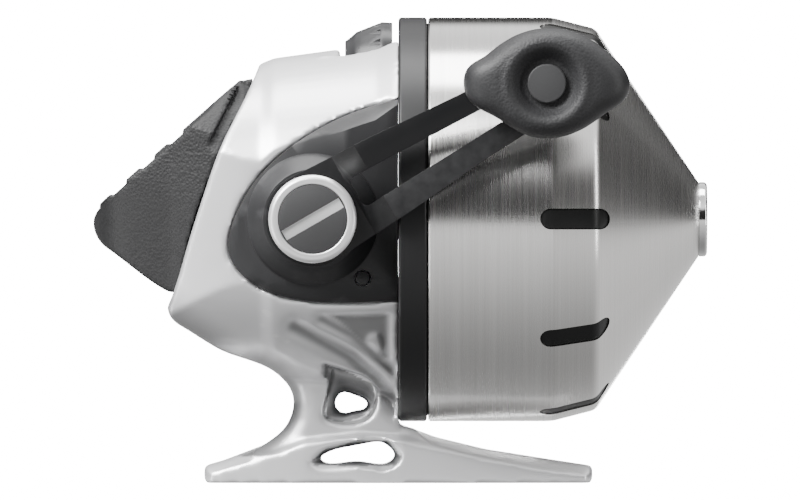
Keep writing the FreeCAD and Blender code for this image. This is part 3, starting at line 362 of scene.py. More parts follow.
# Side-view outlines in millimetres: the flutes and the triangular recess with its boss on the stem,
# the stem's rear edge, the two pockets as rim, hole and depth, and the housing's lower edge.
HOUSING_VOXEL = 0.41
STEM_HALF_WIDTH = 7.8
STEM_EDGE_ROUND = 3.4
FLUTE_WIDTHS = (1.25, 0.95)
FLUTE_DEPTHS = (1.5, 1.1)
RECESS_DEPTH = 1.3
FLUTES = [[(-15.5, 23.4), (-7.3, 19.1), (-3.4, 15.8), (0.5, 10.2)],
          [(-11.4, 24.5), (-6.7, 22.0), (-0.2, 16.7)]]
STEM_BACK = [(-30, 1.2), (-24, 3.6), (-20.5, 5.5), (-18.6, 6.8), (-17.1, 8.2), (-16.1, 10),
             (-15.7, 11.9), (-15.9, 13.4), (-16.7, 14.9), (-18.2, 16.5), (-20.5, 17.7)]
POCKETS = [
    ([(-11.1, 17.9), (-8.1, 17.0), (-3.8, 14.9), (-3.2, 12.6), (-4.2, 10.0), (-8.9, 9.0), (-10.9, 9.6),
      (-10.7, 13.0)],
     [(-9.2, 12.9), (-8.3, 13.65), (-6.7, 13.2), (-5.0, 12.5), (-4.5, 11.85), (-4.9, 11.2), (-6.7, 10.8),
      (-8.2, 10.4), (-9.0, 10.8)], 3.4),
    ([(-13.3, 3.2), (-11.1, 5.1), (-6.8, 6.2), (-1.6, 6.4), (0.5, 4.0), (-0.4, 2.6), (-6.5, 2.55),
      (-12.5, 2.6)],
     [(-12.1, 3.6), (-11.1, 4.35), (-7.9, 5.4), (-5.1, 5.9), (-2.1, 6.0), (-1.3, 5.4), (-0.5, 4.1),
      (-1.1, 3.3), (-6.0, 3.25), (-11.6, 3.25)], 1.6)]
RECESS = [(-11.0, 25.6), (-0.9, 26.0), (-0.9, 17.6), (-3.4, 19.0), (-6.2, 21.2)]
BOSS = (-3.6, 20.7)
BELLY = [(-34.5, 26.4), (-33.9, 24.7), (-31.6, 23.0), (-26.3, 19.8), (-20.5, 17.7)]


def path_distance(x, z, corners, closed=False):
    ends = corners[1:] + corners[:1] if closed else corners[1:]
    return np.min([line_distance(x, z, a, b) for a, b in zip(corners, ends)], axis=0)


def within(x, z, corners):
    """True for points inside a polygon in the side view."""
    inside = np.zeros(len(x), bool)
    for (x0, z0), (x1, z1) in zip(corners, corners[1:] + corners[:1]):
        if z0 != z1:
            crossing = (x1 - x0) * (z - z0) / (z1 - z0) + x0
            inside ^= ((z0 > z) != (z1 > z)) & (x < crossing)
    return inside


def build_housing():
    body = cast_copy("reel_body", "housing", HOUSING_VOXEL, 3)
    spots = points_of(body)
    x, z, off = spots[:, 0] / MM, spots[:, 2] / MM, np.abs(spots[:, 1]) / MM
    sink = np.zeros(len(x))
    for flute, width, depth in zip(FLUTES, FLUTE_WIDTHS, FLUTE_DEPTHS):
        sink = np.maximum(sink, depth * np.exp(-(path_distance(x, z, flute) / width) ** 2))
    edge = path_distance(x, z, RECESS, closed=True)
    hollow = within(x, z, RECESS) * ramp(edge, 0.0, 0.9) * RECESS_DEPTH
    boss = np.exp(-(np.hypot((x - BOSS[0]) / 1.3, (z - BOSS[1]) / 1.8)) ** 4)
    sink = np.maximum(sink, hollow - boss * (hollow > 0))
    near = ramp(off, 4.6, 6.2) * ramp(-z, -26.6, -25.0) * ramp(z, 8.0, 10.5) * ramp(-x, 0.25, 0.6)
    off = off - sink * near
    reach = path_distance(x, z, STEM_BACK)
    from_arc = np.clip(STEM_EDGE_ROUND - reach, 0, STEM_EDGE_ROUND)
    drop = STEM_EDGE_ROUND - np.sqrt(np.clip(STEM_EDGE_ROUND ** 2 - from_arc ** 2, 0, None))
    column = (z > 4.6) & (z < 21.0) & (x < -10.5) & (off > 3.0)
    off = np.where(column, off - drop * ramp(off, 3.0, 5.5), off)
    # Painted shade: the stem's rounded rear edge, the housing's underside, the flutes, the recess and the two
    # pockets are darkened where shade would fall.
    painted_shade = 0.72 * ramp(-reach, -3.2, 0.2) * (z > 4.0)
    painted_shade = np.maximum(painted_shade, 0.50 * ramp(-path_distance(x, z, BELLY), -4.5, 0.5))
    painted_shade = np.maximum(painted_shade, np.clip(sink, 0, 1.2) / 1.2 * 0.62 * near)
    painted_shade *= ramp(off, 1.0, 4.0)
    for outer, inner, depth in POCKETS:
        from_rim = path_distance(x, z, outer, closed=True)
        from_hole = path_distance(x, z, inner, closed=True)
        share = from_rim / (from_rim + from_hole + 1e-6)
        wall = STEM_HALF_WIDTH - 0.3 - depth * share ** 0.8
        region = within(x, z, outer) & ~within(x, z, inner) & (off > 2.5)
        off = np.where(region, np.minimum(off, wall), off)
        # Painted shade inside each pocket, deeper towards its through hole.
        painted_dark = within(x, z, outer) & ramp(from_rim, 0.05, 0.5).astype(bool)
        painted_shade = np.where(painted_dark, 0.62 + 0.3 * ramp(share, 0.1, 0.8), painted_shade)
    spots[:, 1] = np.sign(spots[:, 1]) * off * MM
    set_points(body, spots)
    # The painted shade is stored in the hollow attribute, which the silver finish mixes towards near black.
    set_values(body, "hollow", painted_shade)
    relax = body.modifiers.new("relax", "SMOOTH")
    relax.factor = 0.5
    relax.iterations = 4
    applied(body)
    shade(body, 50)
    stand_for(body, "reel_body", SILVER)


build_housing()


# The side plates: two charcoal plastic mouldings, one on each side, inset flush in the housing. The
# near one carries the crank's bearing. Their edges are broken so that they catch the light.

CHARCOAL = finish_material("charcoal_moulding", (0.018, 0.018, 0.019), (0.05, 0.05, 0.052), 0.40, 0.0,
                           grain=2600.0, relief=0.006, mottle=0.10, shine=0.35)


def refined(node, material, bevel=0.12, angle=32.0, segments=2):
    """A CAD node with its edges broken and its round faces shaded smooth."""
    piece = merged_copy(node, node + "_made")
    dissolve = piece.modifiers.new("flat", "DECIMATE")
    dissolve.decimate_type = "DISSOLVE"
    dissolve.angle_limit = math.radians(0.5)
    if bevel:
        broken = piece.modifiers.new("broken_edge", "BEVEL")
        broken.width = bevel * MM
        broken.segments = segments
        broken.limit_method = "ANGLE"
        broken.angle_limit = math.radians(angle)
        broken.use_clamp_overlap = True
    split = piece.modifiers.new("split", "TRIANGULATE")
    split.keep_custom_normals = True
    applied(piece)
    shade(piece, angle)
    stand_for(piece, node, material)
    return piece


for plate in ("side_plate", "far_side_plate"):
    refined(plate, CHARCOAL)


# The deck ring: a black coated ring with its plate, clamped between the housing and the cover. The
# cover's cup slides over its front edge.

RING_BLACK = finish_material("ring_coating", (0.008, 0.008, 0.0085), (0.05, 0.05, 0.052), 0.42, 0.0,
                             grain=3600.0, relief=0.005, mottle=0.08, shine=0.35)
refined("deck_ring", RING_BLACK, bevel=0.0)


# The far plate's screws: steel pan heads with a driver slot, which hold the far side plate to the
# housing. They are one blank, repeated on the seats.

SCREW_STEEL = finish_material("screw_steel", (0.50, 0.50, 0.51), (0.7, 0.7, 0.7), 0.32, 1.0,
                              grain=1800.0, relief=0.004)
HEAD_HEIGHT = 0.9
DRIVER_SLOT = (5.0, 1.0, 0.55)
SCREW_SIDES = 32


def screw_blank():
    """One pan-head screw with a driver slot, its seat at the origin and its head towards +Y."""
    work = bmesh.new()
    profile = [(0.0, HEAD_HEIGHT), (0.9, HEAD_HEIGHT), (1.3, 0.82), (1.75, 0.55), (2.1, 0.0), (1.1, 0.0),
               (1.1, -3.4), (0.0, -3.6)]
    rows = []
    for radius, height in profile:
        row = []
        for step in range(SCREW_SIDES):
            turn = 2 * math.pi * step / SCREW_SIDES
            row.append(work.verts.new((radius * MM * math.cos(turn), height * MM,
                                       radius * MM * math.sin(turn))))
        rows.append(row)
    for upper, lower in zip(rows, rows[1:]):
        for step in range(SCREW_SIDES):
            on = (step + 1) % SCREW_SIDES
            work.faces.new((upper[step], lower[step], lower[on], upper[on]))
    bmesh.ops.remove_doubles(work, verts=work.verts, dist=0.01 * MM)
    bmesh.ops.recalc_face_normals(work, faces=work.faces)
    mesh = bpy.data.meshes.new("far_screw_blank")
    work.to_mesh(mesh)
    work.free()
    blank = new_object("far_screw_blank", mesh)
    slot = bpy.data.meshes.new("driver_slot")
    work = bmesh.new()
    bmesh.ops.create_cube(work, size=1.0, matrix=Matrix.Diagonal((*[side * MM for side in DRIVER_SLOT], 1)))
    bmesh.ops.translate(work, verts=work.verts, vec=(0, 0.95 * MM, 0))
    work.to_mesh(slot)
    work.free()
    cutter = new_object("driver_slot", slot)
    cut = blank.modifiers.new("slot", "BOOLEAN")
    cut.operation = "DIFFERENCE"
    cut.object = cutter
    applied(blank)
    bpy.data.objects.remove(cutter)
    return blank


def islands(node):
    """Boxes of a CAD node's separate solids."""
    work = bmesh.new()
    work.from_mesh(merged_copy_data(node))
    left, boxes = set(work.verts), []
    while left:
        stack, spots = [left.pop()], []
        while stack:
            corner = stack.pop()
            spots.append(corner.co.copy())
            for edge in corner.link_edges:
                other = edge.other_vert(corner)
                if other in left:
                    left.discard(other)
                    stack.append(other)
        boxes.append((Vector(map(min, zip(*spots))), Vector(map(max, zip(*spots)))))
    work.free()
    return boxes


def repeat_on_points(name, spots, blank, material):
    """One mesh repeated on points by Geometry Nodes, then made plain."""
    group = bpy.data.node_groups.new(name + "_repeat", "GeometryNodeTree")
    group.interface.new_socket("Geometry", in_out="INPUT", socket_type="NodeSocketGeometry")
    part = group.interface.new_socket("Part", in_out="INPUT", socket_type="NodeSocketObject")
    finish = group.interface.new_socket("Finish", in_out="INPUT", socket_type="NodeSocketMaterial")
    group.interface.new_socket("Geometry", in_out="OUTPUT", socket_type="NodeSocketGeometry")
    nodes, links = group.nodes, group.links
    inlet, outlet = nodes.new("NodeGroupInput"), nodes.new("NodeGroupOutput")
    source = nodes.new("GeometryNodeObjectInfo")
    copies = nodes.new("GeometryNodeInstanceOnPoints")
    real = nodes.new("GeometryNodeRealizeInstances")
    paint = nodes.new("GeometryNodeSetMaterial")
    links.new(inlet.outputs["Part"], source.inputs["Object"])
    links.new(inlet.outputs["Geometry"], copies.inputs["Points"])
    links.new(source.outputs["Geometry"], copies.inputs["Instance"])
    links.new(copies.outputs["Instances"], real.inputs["Geometry"])
    links.new(real.outputs["Geometry"], paint.inputs["Geometry"])
    links.new(inlet.outputs["Finish"], paint.inputs["Material"])
    links.new(paint.outputs["Geometry"], outlet.inputs["Geometry"])
    mesh = bpy.data.meshes.new(name)
    mesh.from_pydata(spots, [], [])
    made = new_object(name, mesh)
    repeat = made.modifiers.new("repeat", "NODES")
    repeat.node_group = group
    repeat[part.identifier] = blank
    repeat[finish.identifier] = material
    applied(made)
    bpy.data.objects.remove(blank)
    return made


seats = [((low.x + high.x) / 2, high.y - HEAD_HEIGHT * MM, (low.z + high.z) / 2)
         for low, high in islands("far_plate_screws")]
far_screws = repeat_on_points("far_screw_heads", seats, screw_blank(), SCREW_STEEL)
shade(far_screws, 35)
stand_for(far_screws, "far_plate_screws", SCREW_STEEL)


# The pawl's pin: a small black peg pressed through the near side plate. The anti-reverse pawl rocks
# on it behind the plate.

refined("pawl_pin", CHARCOAL, bevel=0.1)


# The front cover: a cup pressed from stainless sheet and brushed round its axis, with ten slots
# over the shoulder. The straight skirt is brushed coarser than the cone.

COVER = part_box("front_cover")
COVER_AXIS_Z = REEL_AXIS[2]
COVER_RADIUS = (COVER[1][2] - COVER[0][2]) / 2
COVER_BACK, COVER_FRONT = COVER[0][0], COVER[1][0]
SKIRT_END = 23.0 * MM
SHOULDER = (29.6 * MM, 28.6 * MM)
CONE_TIP = 5.6 * MM
SHEET = 0.8 * MM
SLOTS = 10
SLOT_START, SLOT_END, SLOT_WIDTH = 21.1 * MM, 31.5 * MM, 3.1 * MM
SEGMENTS = 360
ARC_STEPS = 6
PILL_STEPS = 10


def rounded_path(corners, radii):
    """A path through corners, each turned on an arc of its own radius."""
    path = [corners[0]]
    for before, corner, after, radius in zip(corners, corners[1:], corners[2:], radii):
        a, b, c = Vector(before), Vector(corner), Vector(after)
        back, on = (a - b).normalized(), (c - b).normalized()
        half = back.angle(on) / 2
        trim = radius / math.tan(half)
        centre = b + (back + on).normalized() * (radius / math.sin(half))
        first, last = b + back * trim - centre, b + on * trim - centre
        begin = math.atan2(first.y, first.x)
        sweep = math.remainder(math.atan2(last.y, last.x) - begin, 2 * math.pi)
        for step in range(ARC_STEPS + 1):
            turn = begin + sweep * step / ARC_STEPS
            path.append((centre.x + radius * math.cos(turn), centre.y + radius * math.sin(turn)))
    path.append(corners[-1])
    return path


def spun(name, path, segments=SEGMENTS):
    """Turn a closed path of (x, radius) about the reel axis, with a UV map wound round it."""
    mesh = bpy.data.meshes.new(name)
    rows = len(path)
    points, faces = [], []
    for x, radius in path:
        for step in range(segments):
            turn = 2 * math.pi * step / segments
            points.append((x, -radius * math.cos(turn), COVER_AXIS_Z + radius * math.sin(turn)))
    for row in range(rows):
        after = (row + 1) % rows
        for step in range(segments):
            on = (step + 1) % segments
            faces.append((row * segments + step, row * segments + on,
                          after * segments + on, after * segments + step))
    mesh.from_pydata(points, [], faces)
    wrap = mesh.uv_layers.new(name="wrap")
    spots = []
    for row in range(rows):
        for step in range(segments):
            low, high = step / segments, (step + 1) / segments
            spots += [low, row, high, row, high, row + 1, low, row + 1]
    wrap.data.foreach_set("uv", spots)
    return new_object(name, mesh)


def outward(piece):
    """Recalculate the normals of a closed shell."""
    work = bmesh.new()
    work.from_mesh(piece.data)
    bmesh.ops.remove_doubles(work, verts=work.verts, dist=0.0005 * MM)
    bmesh.ops.recalc_face_normals(work, faces=work.faces)
    work.to_mesh(piece.data)
    work.free()


def pill_cutter(name, start, end, width, inner, outer, count):
    """Round-ended prisms standing out from the reel axis, spread evenly round it."""
    half = width / 2
    ring = []
    for centre, first in ((end - half, -90), (start + half, 90)):
        for step in range(PILL_STEPS + 1):
            turn = math.radians(first + 180 * step / PILL_STEPS)
            ring.append((centre + half * math.cos(turn), half * math.sin(turn)))
    size = len(ring)
    points, faces = [], []
    for number in range(count):
        spin = Matrix.Rotation(2 * math.pi * number / count, 3, "X")
        base = len(points)
        for reach in (inner, outer):
            points += [spin @ Vector((x, -reach, z)) + Vector((0, 0, COVER_AXIS_Z)) for x, z in ring]
        faces.append([base + i for i in range(size)])
        faces.append([base + size + i for i in reversed(range(size))])
        for i in range(size):
            on = (i + 1) % size
            faces.append((base + i, base + size + i, base + size + on, base + on))
    mesh = bpy.data.meshes.new(name)
    mesh.from_pydata(points, [], faces)
    cutter = new_object(name, mesh)
    outward(cutter)
    return cutter


def brushed_group():
    """Streaks wound round the reel axis: a height and a tone."""
    group, inlet, outlet = shader_group("brushed_round", [("Lines", 9000.0), ("Axis Z", COVER_AXIS_Z)],
                                        ["Height", "Tone"])
    nodes, links = group.nodes, group.links

    def maths(operation, first, second=None):
        step = nodes.new("ShaderNodeMath")
        step.operation = operation
        for socket, source in zip(step.inputs, (first, second)):
            if source is None:
                continue
            if isinstance(source, float):
                socket.default_value = source
            else:
                links.new(source, socket)
        return step.outputs["Value"]

    spot = nodes.new("ShaderNodeTexCoord")
    parts = nodes.new("ShaderNodeSeparateXYZ")
    links.new(spot.outputs["Object"], parts.inputs["Vector"])
    up = maths("SUBTRACT", parts.outputs["Z"], inlet.outputs["Axis Z"])
    turn = maths("ARCTAN2", up, parts.outputs["Y"])
    reach = maths("SQRT", maths("ADD", maths("MULTIPLY", up, up),
                                maths("MULTIPLY", parts.outputs["Y"], parts.outputs["Y"])))
    along = maths("SUBTRACT", parts.outputs["X"], reach)
    join = nodes.new("ShaderNodeCombineXYZ")
    links.new(maths("MULTIPLY", along, inlet.outputs["Lines"]), join.inputs["X"])
    links.new(maths("MULTIPLY", maths("SINE", turn), 1.4), join.inputs["Y"])
    links.new(maths("MULTIPLY", maths("COSINE", turn), 1.4), join.inputs["Z"])
    for label, scale in (("Height", 1.0), ("Tone", 0.35)):
        noise = nodes.new("ShaderNodeTexNoise")
        noise.inputs["Scale"].default_value = scale
        noise.inputs["Detail"].default_value = 3.0
        links.new(join.outputs["Vector"], noise.inputs["Vector"])
        links.new(noise.outputs["Fac"], outlet.inputs[label])
    return group


BRUSHED = brushed_group()


def brushed_steel(name, colour, roughness, anisotropy, lines, relief):
    """Steel with streaks wound round the reel axis, its highlights stretched across them."""
    made = bpy.data.materials.new(name)
    made.use_nodes = True
    nodes, links = made.node_tree.nodes, made.node_tree.links
    shader = nodes["Principled BSDF"]
    shader.inputs["Metallic"].default_value = 1.0
    shader.inputs["Anisotropic"].default_value = anisotropy
    shader.inputs["Anisotropic Rotation"].default_value = 0.25
    tangent = nodes.new("ShaderNodeTangent")
    tangent.direction_type = "UV_MAP"
    tangent.uv_map = "wrap"
    links.new(tangent.outputs["Tangent"], shader.inputs["Tangent"])
    brush = nodes.new("ShaderNodeGroup")
    brush.node_tree = BRUSHED
    brush.inputs["Lines"].default_value = lines
    brush.inputs["Axis Z"].default_value = COVER_AXIS_Z
    tone = nodes.new("ShaderNodeMix")
    tone.data_type = "RGBA"
    tone.inputs[6].default_value = (*[channel * 0.86 for channel in colour], 1)
    tone.inputs[7].default_value = (*[min(1, channel * 1.10) for channel in colour], 1)
    spread = nodes.new("ShaderNodeMapRange")
    spread.inputs["To Min"].default_value = roughness - 0.06
    spread.inputs["To Max"].default_value = roughness + 0.08
    bump = nodes.new("ShaderNodeBump")
    bump.inputs["Distance"].default_value = relief * MM
    links.new(brush.outputs["Tone"], tone.inputs[0])
    links.new(brush.outputs["Height"], spread.inputs["Value"])
    links.new(brush.outputs["Height"], bump.inputs["Height"])
    links.new(spread.outputs["Result"], shader.inputs["Roughness"])
    links.new(bump.outputs["Normal"], shader.inputs["Normal"])
    links.new(tone.outputs[2], shader.inputs["Base Color"])
    return made


SKIRT_STEEL = brushed_steel("skirt_steel", (0.80, 0.79, 0.775), 0.25, 0.85, 5200.0, 0.006)
CONE_STEEL = brushed_steel("cone_steel", (0.74, 0.73, 0.715), 0.26, 0.45, 14000.0, 0.0015)


def build_cover():
    slant = Vector((COVER_FRONT - SHOULDER[0], SHOULDER[1] - CONE_TIP)).normalized()
    wall = SHEET / slant.x
    corners = [
        (COVER_BACK, COVER_RADIUS - 0.25 * MM), (COVER_BACK + 0.25 * MM, COVER_RADIUS),
        (SKIRT_END, COVER_RADIUS), SHOULDER, (COVER_FRONT, CONE_TIP),
        (COVER_FRONT, CONE_TIP - 1.0 * MM), (COVER_FRONT - SHEET, CONE_TIP - 1.0 * MM),
        (COVER_FRONT - SHEET, CONE_TIP + SHEET * slant.y / slant.x - wall),
        (SHOULDER[0] - SHEET / 2, SHOULDER[1] - SHEET), (SKIRT_END, COVER_RADIUS - SHEET),
        (COVER_BACK, COVER_RADIUS - SHEET)]
    radii = [0.3 * MM, 7.0 * MM, 2.2 * MM, 0.3 * MM, 0.2 * MM, 0.2 * MM, 0.2 * MM, 1.8 * MM, 7.0 * MM]
    cover = spun("cover_cup", rounded_path(corners, radii))
    outward(cover)
    cutter = pill_cutter("slot_cutter", SLOT_START, SLOT_END, SLOT_WIDTH, 18 * MM, 33 * MM, SLOTS)
    cut = cover.modifiers.new("slots", "BOOLEAN")
    cut.operation = "DIFFERENCE"
    cut.object = cutter
    cut.solver = "EXACT"
    applied(cover)
    bpy.data.objects.remove(cutter)
    shade(cover, 25)
    stand_for(cover, "front_cover", SKIRT_STEEL)
    cover.data.materials.append(CONE_STEEL)
    for face in cover.data.polygons:
        face.material_index = int(face.center.x > SKIRT_END)


build_cover()


# The cover's liner: a black plastic sleeve pressed into the cup. It shows through the slots as ten
# pads, each with a rounded rim.

LINER_BLACK = finish_material("liner_black", (0.006, 0.006, 0.006), (0.012, 0.012, 0.012), 0.38, 0.0,
                              grain=2600.0, relief=0.004, shine=0.25)
refined("cover_liner", LINER_BLACK, bevel=0.28, angle=40, segments=3)


# The nose ring: a hard polished ring swaged into the cone's tip. The line leaves through its rounded
# bore.

POLISHED = finish_material("polished_ring", (0.80, 0.80, 0.80), (0.9, 0.9, 0.9), 0.10, 1.0,
                           grain=1500.0, relief=0.0008, mottle=0.02, rough_spread=0.03)


def build_nose_ring():
    low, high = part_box("nose_ring")
    back, front, radius = low[0], high[0], (high[2] - low[2]) / 2
    bore = MOUNTS["line_exit"]["dims"]["r_mm"] * MM
    corners = [
        (back, bore), (front, bore), (front, radius), (COVER_FRONT, radius),
        (COVER_FRONT, radius - 1.0 * MM), (COVER_FRONT - SHEET, radius - 1.0 * MM),
        (COVER_FRONT - SHEET, radius - 0.6 * MM), (back, radius - 0.6 * MM), (back, bore)]
    radii = [0.55 * MM, 0.55 * MM, 0.2 * MM, 0.1 * MM, 0.1 * MM, 0.1 * MM, 0.1 * MM]
    ring = spun("nose_ring_polished", rounded_path(corners, radii)[:-1], segments=160)
    outward(ring)
    shade(ring, 35)
    stand_for(ring, "nose_ring", POLISHED)


build_nose_ring()


# The drag wheel: moulded dark grey plastic in the housing's top window, with grip flutes round its
# rim. A fingertip turns it to set the spool's drag.

WHEEL_GREY = finish_material("wheel_grey", (0.014, 0.014, 0.015), (0.06, 0.06, 0.062), 0.36, 0.0,
                             grain=2600.0, relief=0.004, mottle=0.10, shine=0.4)
refined("drag_wheel", WHEEL_GREY, bevel=0.18, angle=28)


# The crank arm: forked steel strip, black coated, its long edges rubbed paler. It is fixed on the
# crank shaft and carries the knob at its far end.

ARM_BLACK = finish_material("arm_black", (0.005, 0.005, 0.0055), (0.03, 0.03, 0.031), 0.36, 0.0,
                            grain=3200.0, relief=0.004, mottle=0.08, wear=(0.56, 0.66), shine=0.3)
refined("handle_arm", ARM_BLACK, bevel=0.28, angle=30, segments=3)


# The arm's nut, a machined bright ring with a coin slot, the grey disc that lies in it, and the
# knob's axle, whose grey cap shows in the middle of the knob.

NUT_STEEL = finish_material("nut_steel", (0.88, 0.88, 0.88), (0.97, 0.97, 0.97), 0.36, 0.75,
                            grain=1600.0, relief=0.002, mottle=0.04)
DISC_GREY = finish_material("disc_grey", (0.036, 0.036, 0.037), (0.06, 0.06, 0.062), 0.50, 0.0,
                            grain=3600.0, relief=0.003, mottle=0.05, shine=0.35)
refined("handle_nut", NUT_STEEL, bevel=0.22, angle=40, segments=3)
refined("nut_disc", DISC_GREY, bevel=0.06, angle=40)
refined("knob_axle", DISC_GREY, bevel=0.25, angle=40, segments=3)


# The handle knob: a soft rubber paddle shaped like an eye, rounded over towards its two end lobes,
# with a thumb dish in the middle. Its leathery grain is strongest in and round the dish.

KNOB_CENTRE = JOINTS["knob_spin"]["pos_m"]
KNOB_LOW, KNOB_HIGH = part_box("handle_knob")
KNOB_DEPTH = (KNOB_HIGH[1] - KNOB_LOW[1]) / MM
KNOB_MIDDLE_Y = (KNOB_LOW[1] + KNOB_HIGH[1]) / 2
KNOB_BORE = 2.05
KNOB_DOME = 4.0
KNOB_TAPER = 1.6
DISH_RADIUS = 5.5
DISH_DEPTH = 1.9
LIP_RISE = 0.22
KNOB_AROUND = 200
FRONT_RINGS, SIDE_RINGS, BACK_RINGS = 60, 18, 10
EASING_PASSES = 10


def leather_group():
    """Coarse rounded pebbles with creases between them."""
    group, inlet, outlet = shader_group("leather", [("Scale", 1500.0)], ["Height"])
    nodes, links = group.nodes, group.links
    spot = nodes.new("ShaderNodeTexCoord")
    cells = nodes.new("ShaderNodeTexVoronoi")
    cells.feature = "SMOOTH_F1"
    cells.inputs["Smoothness"].default_value = 0.35
    bend = nodes.new("ShaderNodeTexNoise")
    bend.inputs["Scale"].default_value = 420.0
    bend.inputs["Detail"].default_value = 3.0
    mix = nodes.new("ShaderNodeMath")
    mix.operation = "ADD"
    links.new(spot.outputs["Object"], cells.inputs["Vector"])
    links.new(spot.outputs["Object"], bend.inputs["Vector"])
    links.new(inlet.outputs["Scale"], cells.inputs["Scale"])
    links.new(cells.outputs["Distance"], mix.inputs[0])
    links.new(bend.outputs["Fac"], mix.inputs[1])
    links.new(mix.outputs["Value"], outlet.inputs["Height"])
    return group


LEATHER = leather_group()


def rubber(name, colour, pale, roughness, scale, relief):
    """Grained rubber; the mesh's "grain" attribute says where the grain is strong."""
    made = bpy.data.materials.new(name)
    made.use_nodes = True
    nodes, links = made.node_tree.nodes, made.node_tree.links
    shader = nodes["Principled BSDF"]
    shader.inputs["Specular IOR Level"].default_value = 0.35
    grain = nodes.new("ShaderNodeGroup")
    grain.node_tree = LEATHER
    grain.inputs["Scale"].default_value = scale
    strong = nodes.new("ShaderNodeAttribute")
    strong.attribute_name = "grain"
    bump = nodes.new("ShaderNodeBump")
    bump.inputs["Distance"].default_value = relief * MM
    tone = nodes.new("ShaderNodeMix")
    tone.data_type = "RGBA"
    tone.inputs[6].default_value = (*colour, 1)
    tone.inputs[7].default_value = (*pale, 1)
    dull = nodes.new("ShaderNodeMapRange")
    dull.inputs["To Min"].default_value = roughness - 0.08
    dull.inputs["To Max"].default_value = roughness + 0.06
    links.new(grain.outputs["Height"], bump.inputs["Height"])
    links.new(strong.outputs["Fac"], bump.inputs["Strength"])
    links.new(bump.outputs["Normal"], shader.inputs["Normal"])
    links.new(grain.outputs["Height"], tone.inputs[0])
    links.new(tone.outputs[2], shader.inputs["Base Color"])
    links.new(strong.outputs["Fac"], dull.inputs["Value"])
    links.new(dull.outputs["Result"], shader.inputs["Roughness"])
    return made


KNOB_RUBBER = rubber("knob_rubber", (0.006, 0.006, 0.0063), (0.018, 0.018, 0.019), 0.52, 2600.0, 0.055)
KNOB_OUTLINE = [
    (-12.39, 0.3), (-12.18, 1.8), (-11.49, 2.85), (-10.44, 3.36), (-9.33, 3.75), (-7.89, 5.04),
    (-6.09, 6.3), (-3.69, 7.5), (-1.29, 8.1), (0.81, 8.15), (3.51, 7.8), (5.91, 6.84), (8.31, 5.16),
    (10.26, 3.54), (11.61, 2.1), (12.36, 0.45), (12.21, -1.35), (11.46, -2.7), (10.11, -3.54),
    (8.91, -4.14), (6.81, -5.76), (4.41, -7.14), (2.01, -7.9), (-0.39, -8.1), (-2.79, -7.7),
    (-4.89, -6.6), (-6.99, -5.15), (-8.79, -4.2), (-10.44, -3.5), (-11.64, -2.4), (-12.24, -1.05)]


def knob_rim(turn):
    """Outline radius at an angle, in millimetres, eased between the outline's points."""
    corners = np.array(KNOB_OUTLINE)
    angles = np.arctan2(corners[:, 1], corners[:, 0])
    order = np.argsort(angles)
    angles, radii = angles[order], np.hypot(corners[:, 0], corners[:, 1])[order]
    fine = np.interp(turn, angles, radii, period=2 * np.pi)
    for _ in range(EASING_PASSES):
        fine = 0.5 * fine + 0.25 * (np.roll(fine, 1) + np.roll(fine, -1))
    return fine


def build_knob():
    turn = np.linspace(0, 2 * np.pi, KNOB_AROUND, endpoint=False)
    rim = knob_rim(turn)
    front, back = -KNOB_DEPTH / 2, KNOB_DEPTH / 2
    sections = []
    for share in np.linspace(0, 1, FRONT_RINGS):
        reach = KNOB_BORE + (rim - KNOB_BORE) * (1 - (1 - share) ** 1.3)
        fall = np.clip((reach - DISH_RADIUS - 0.8) / (rim - DISH_RADIUS - 0.8), 0, 1)
        dome = KNOB_DOME * (1 - np.sqrt(np.clip(1 - fall ** 2.1, 0, 1)))
        lip = LIP_RISE * np.exp(-((reach - DISH_RADIUS - 0.5) / 0.6) ** 2)
        dish = DISH_DEPTH * (1 - ramp(reach, 3.4, DISH_RADIUS)) - lip
        sections.append((reach, front + dome + dish))
    low = front + KNOB_DOME
    for share in np.linspace(0, 1, SIDE_RINGS)[1:]:
        reach = rim - KNOB_TAPER * ramp(share, 0.55, 1.0) ** 1.5
        sections.append((reach, np.full(KNOB_AROUND, low + (back - low) * share)))
    for share in np.linspace(0, 1, BACK_RINGS)[1:]:
        reach = (rim - KNOB_TAPER) * (1 - share) + KNOB_BORE * share
        sections.append((reach, np.full(KNOB_AROUND, back)))
    points = []
    for reach, depth in sections:
        spots = np.stack([reach * np.cos(turn), depth, reach * np.sin(turn)], axis=1)
        points.append(spots * MM + [KNOB_CENTRE[0], KNOB_MIDDLE_Y, KNOB_CENTRE[2]])
    faces = []
    for row in range(len(points)):
        this, after = row * KNOB_AROUND, (row + 1) % len(points) * KNOB_AROUND
        for step in range(KNOB_AROUND):
            on = (step + 1) % KNOB_AROUND
            faces.append((this + step, this + on, after + on, after + step))
    mesh = bpy.data.meshes.new("knob_rubber_body")
    mesh.from_pydata(np.concatenate(points).tolist(), [], faces)
    knob = new_object("knob_rubber_body", mesh)
    spots = points_of(knob)
    reach = np.hypot((spots[:, 0] - KNOB_CENTRE[0]) / MM, (spots[:, 2] - KNOB_CENTRE[2]) / MM)
    set_values(knob, "grain", 0.18 + 0.82 * (1 - ramp(reach, 6.0, 10.5)))
    outward(knob)
    shade(knob, 60)
    stand_for(knob, "handle_knob", KNOB_RUBBER)


build_knob()


# The thumb button: a black rubber-covered wedge behind the housing. Four raised pads run down its
# sloping edge for grip. The grain is coarse on the cheeks near the housing and fine lower down.

BUTTON_RUBBER = rubber("button_rubber", (0.003, 0.003, 0.0032), (0.011, 0.011, 0.0115), 0.50, 2300.0, 0.075)
BUTTON_VOXEL = 0.30
PADS = [((-23.1, 60.4), (-32.3, 52.1)), ((-33.8, 50.7), (-36.6, 48.4)),
        ((-37.9, 47.0), (-40.9, 44.8)), ((-42.3, 43.1), (-44.8, 41.1))]
PAD_RISE = 0.45
PAD_EASE = 0.7


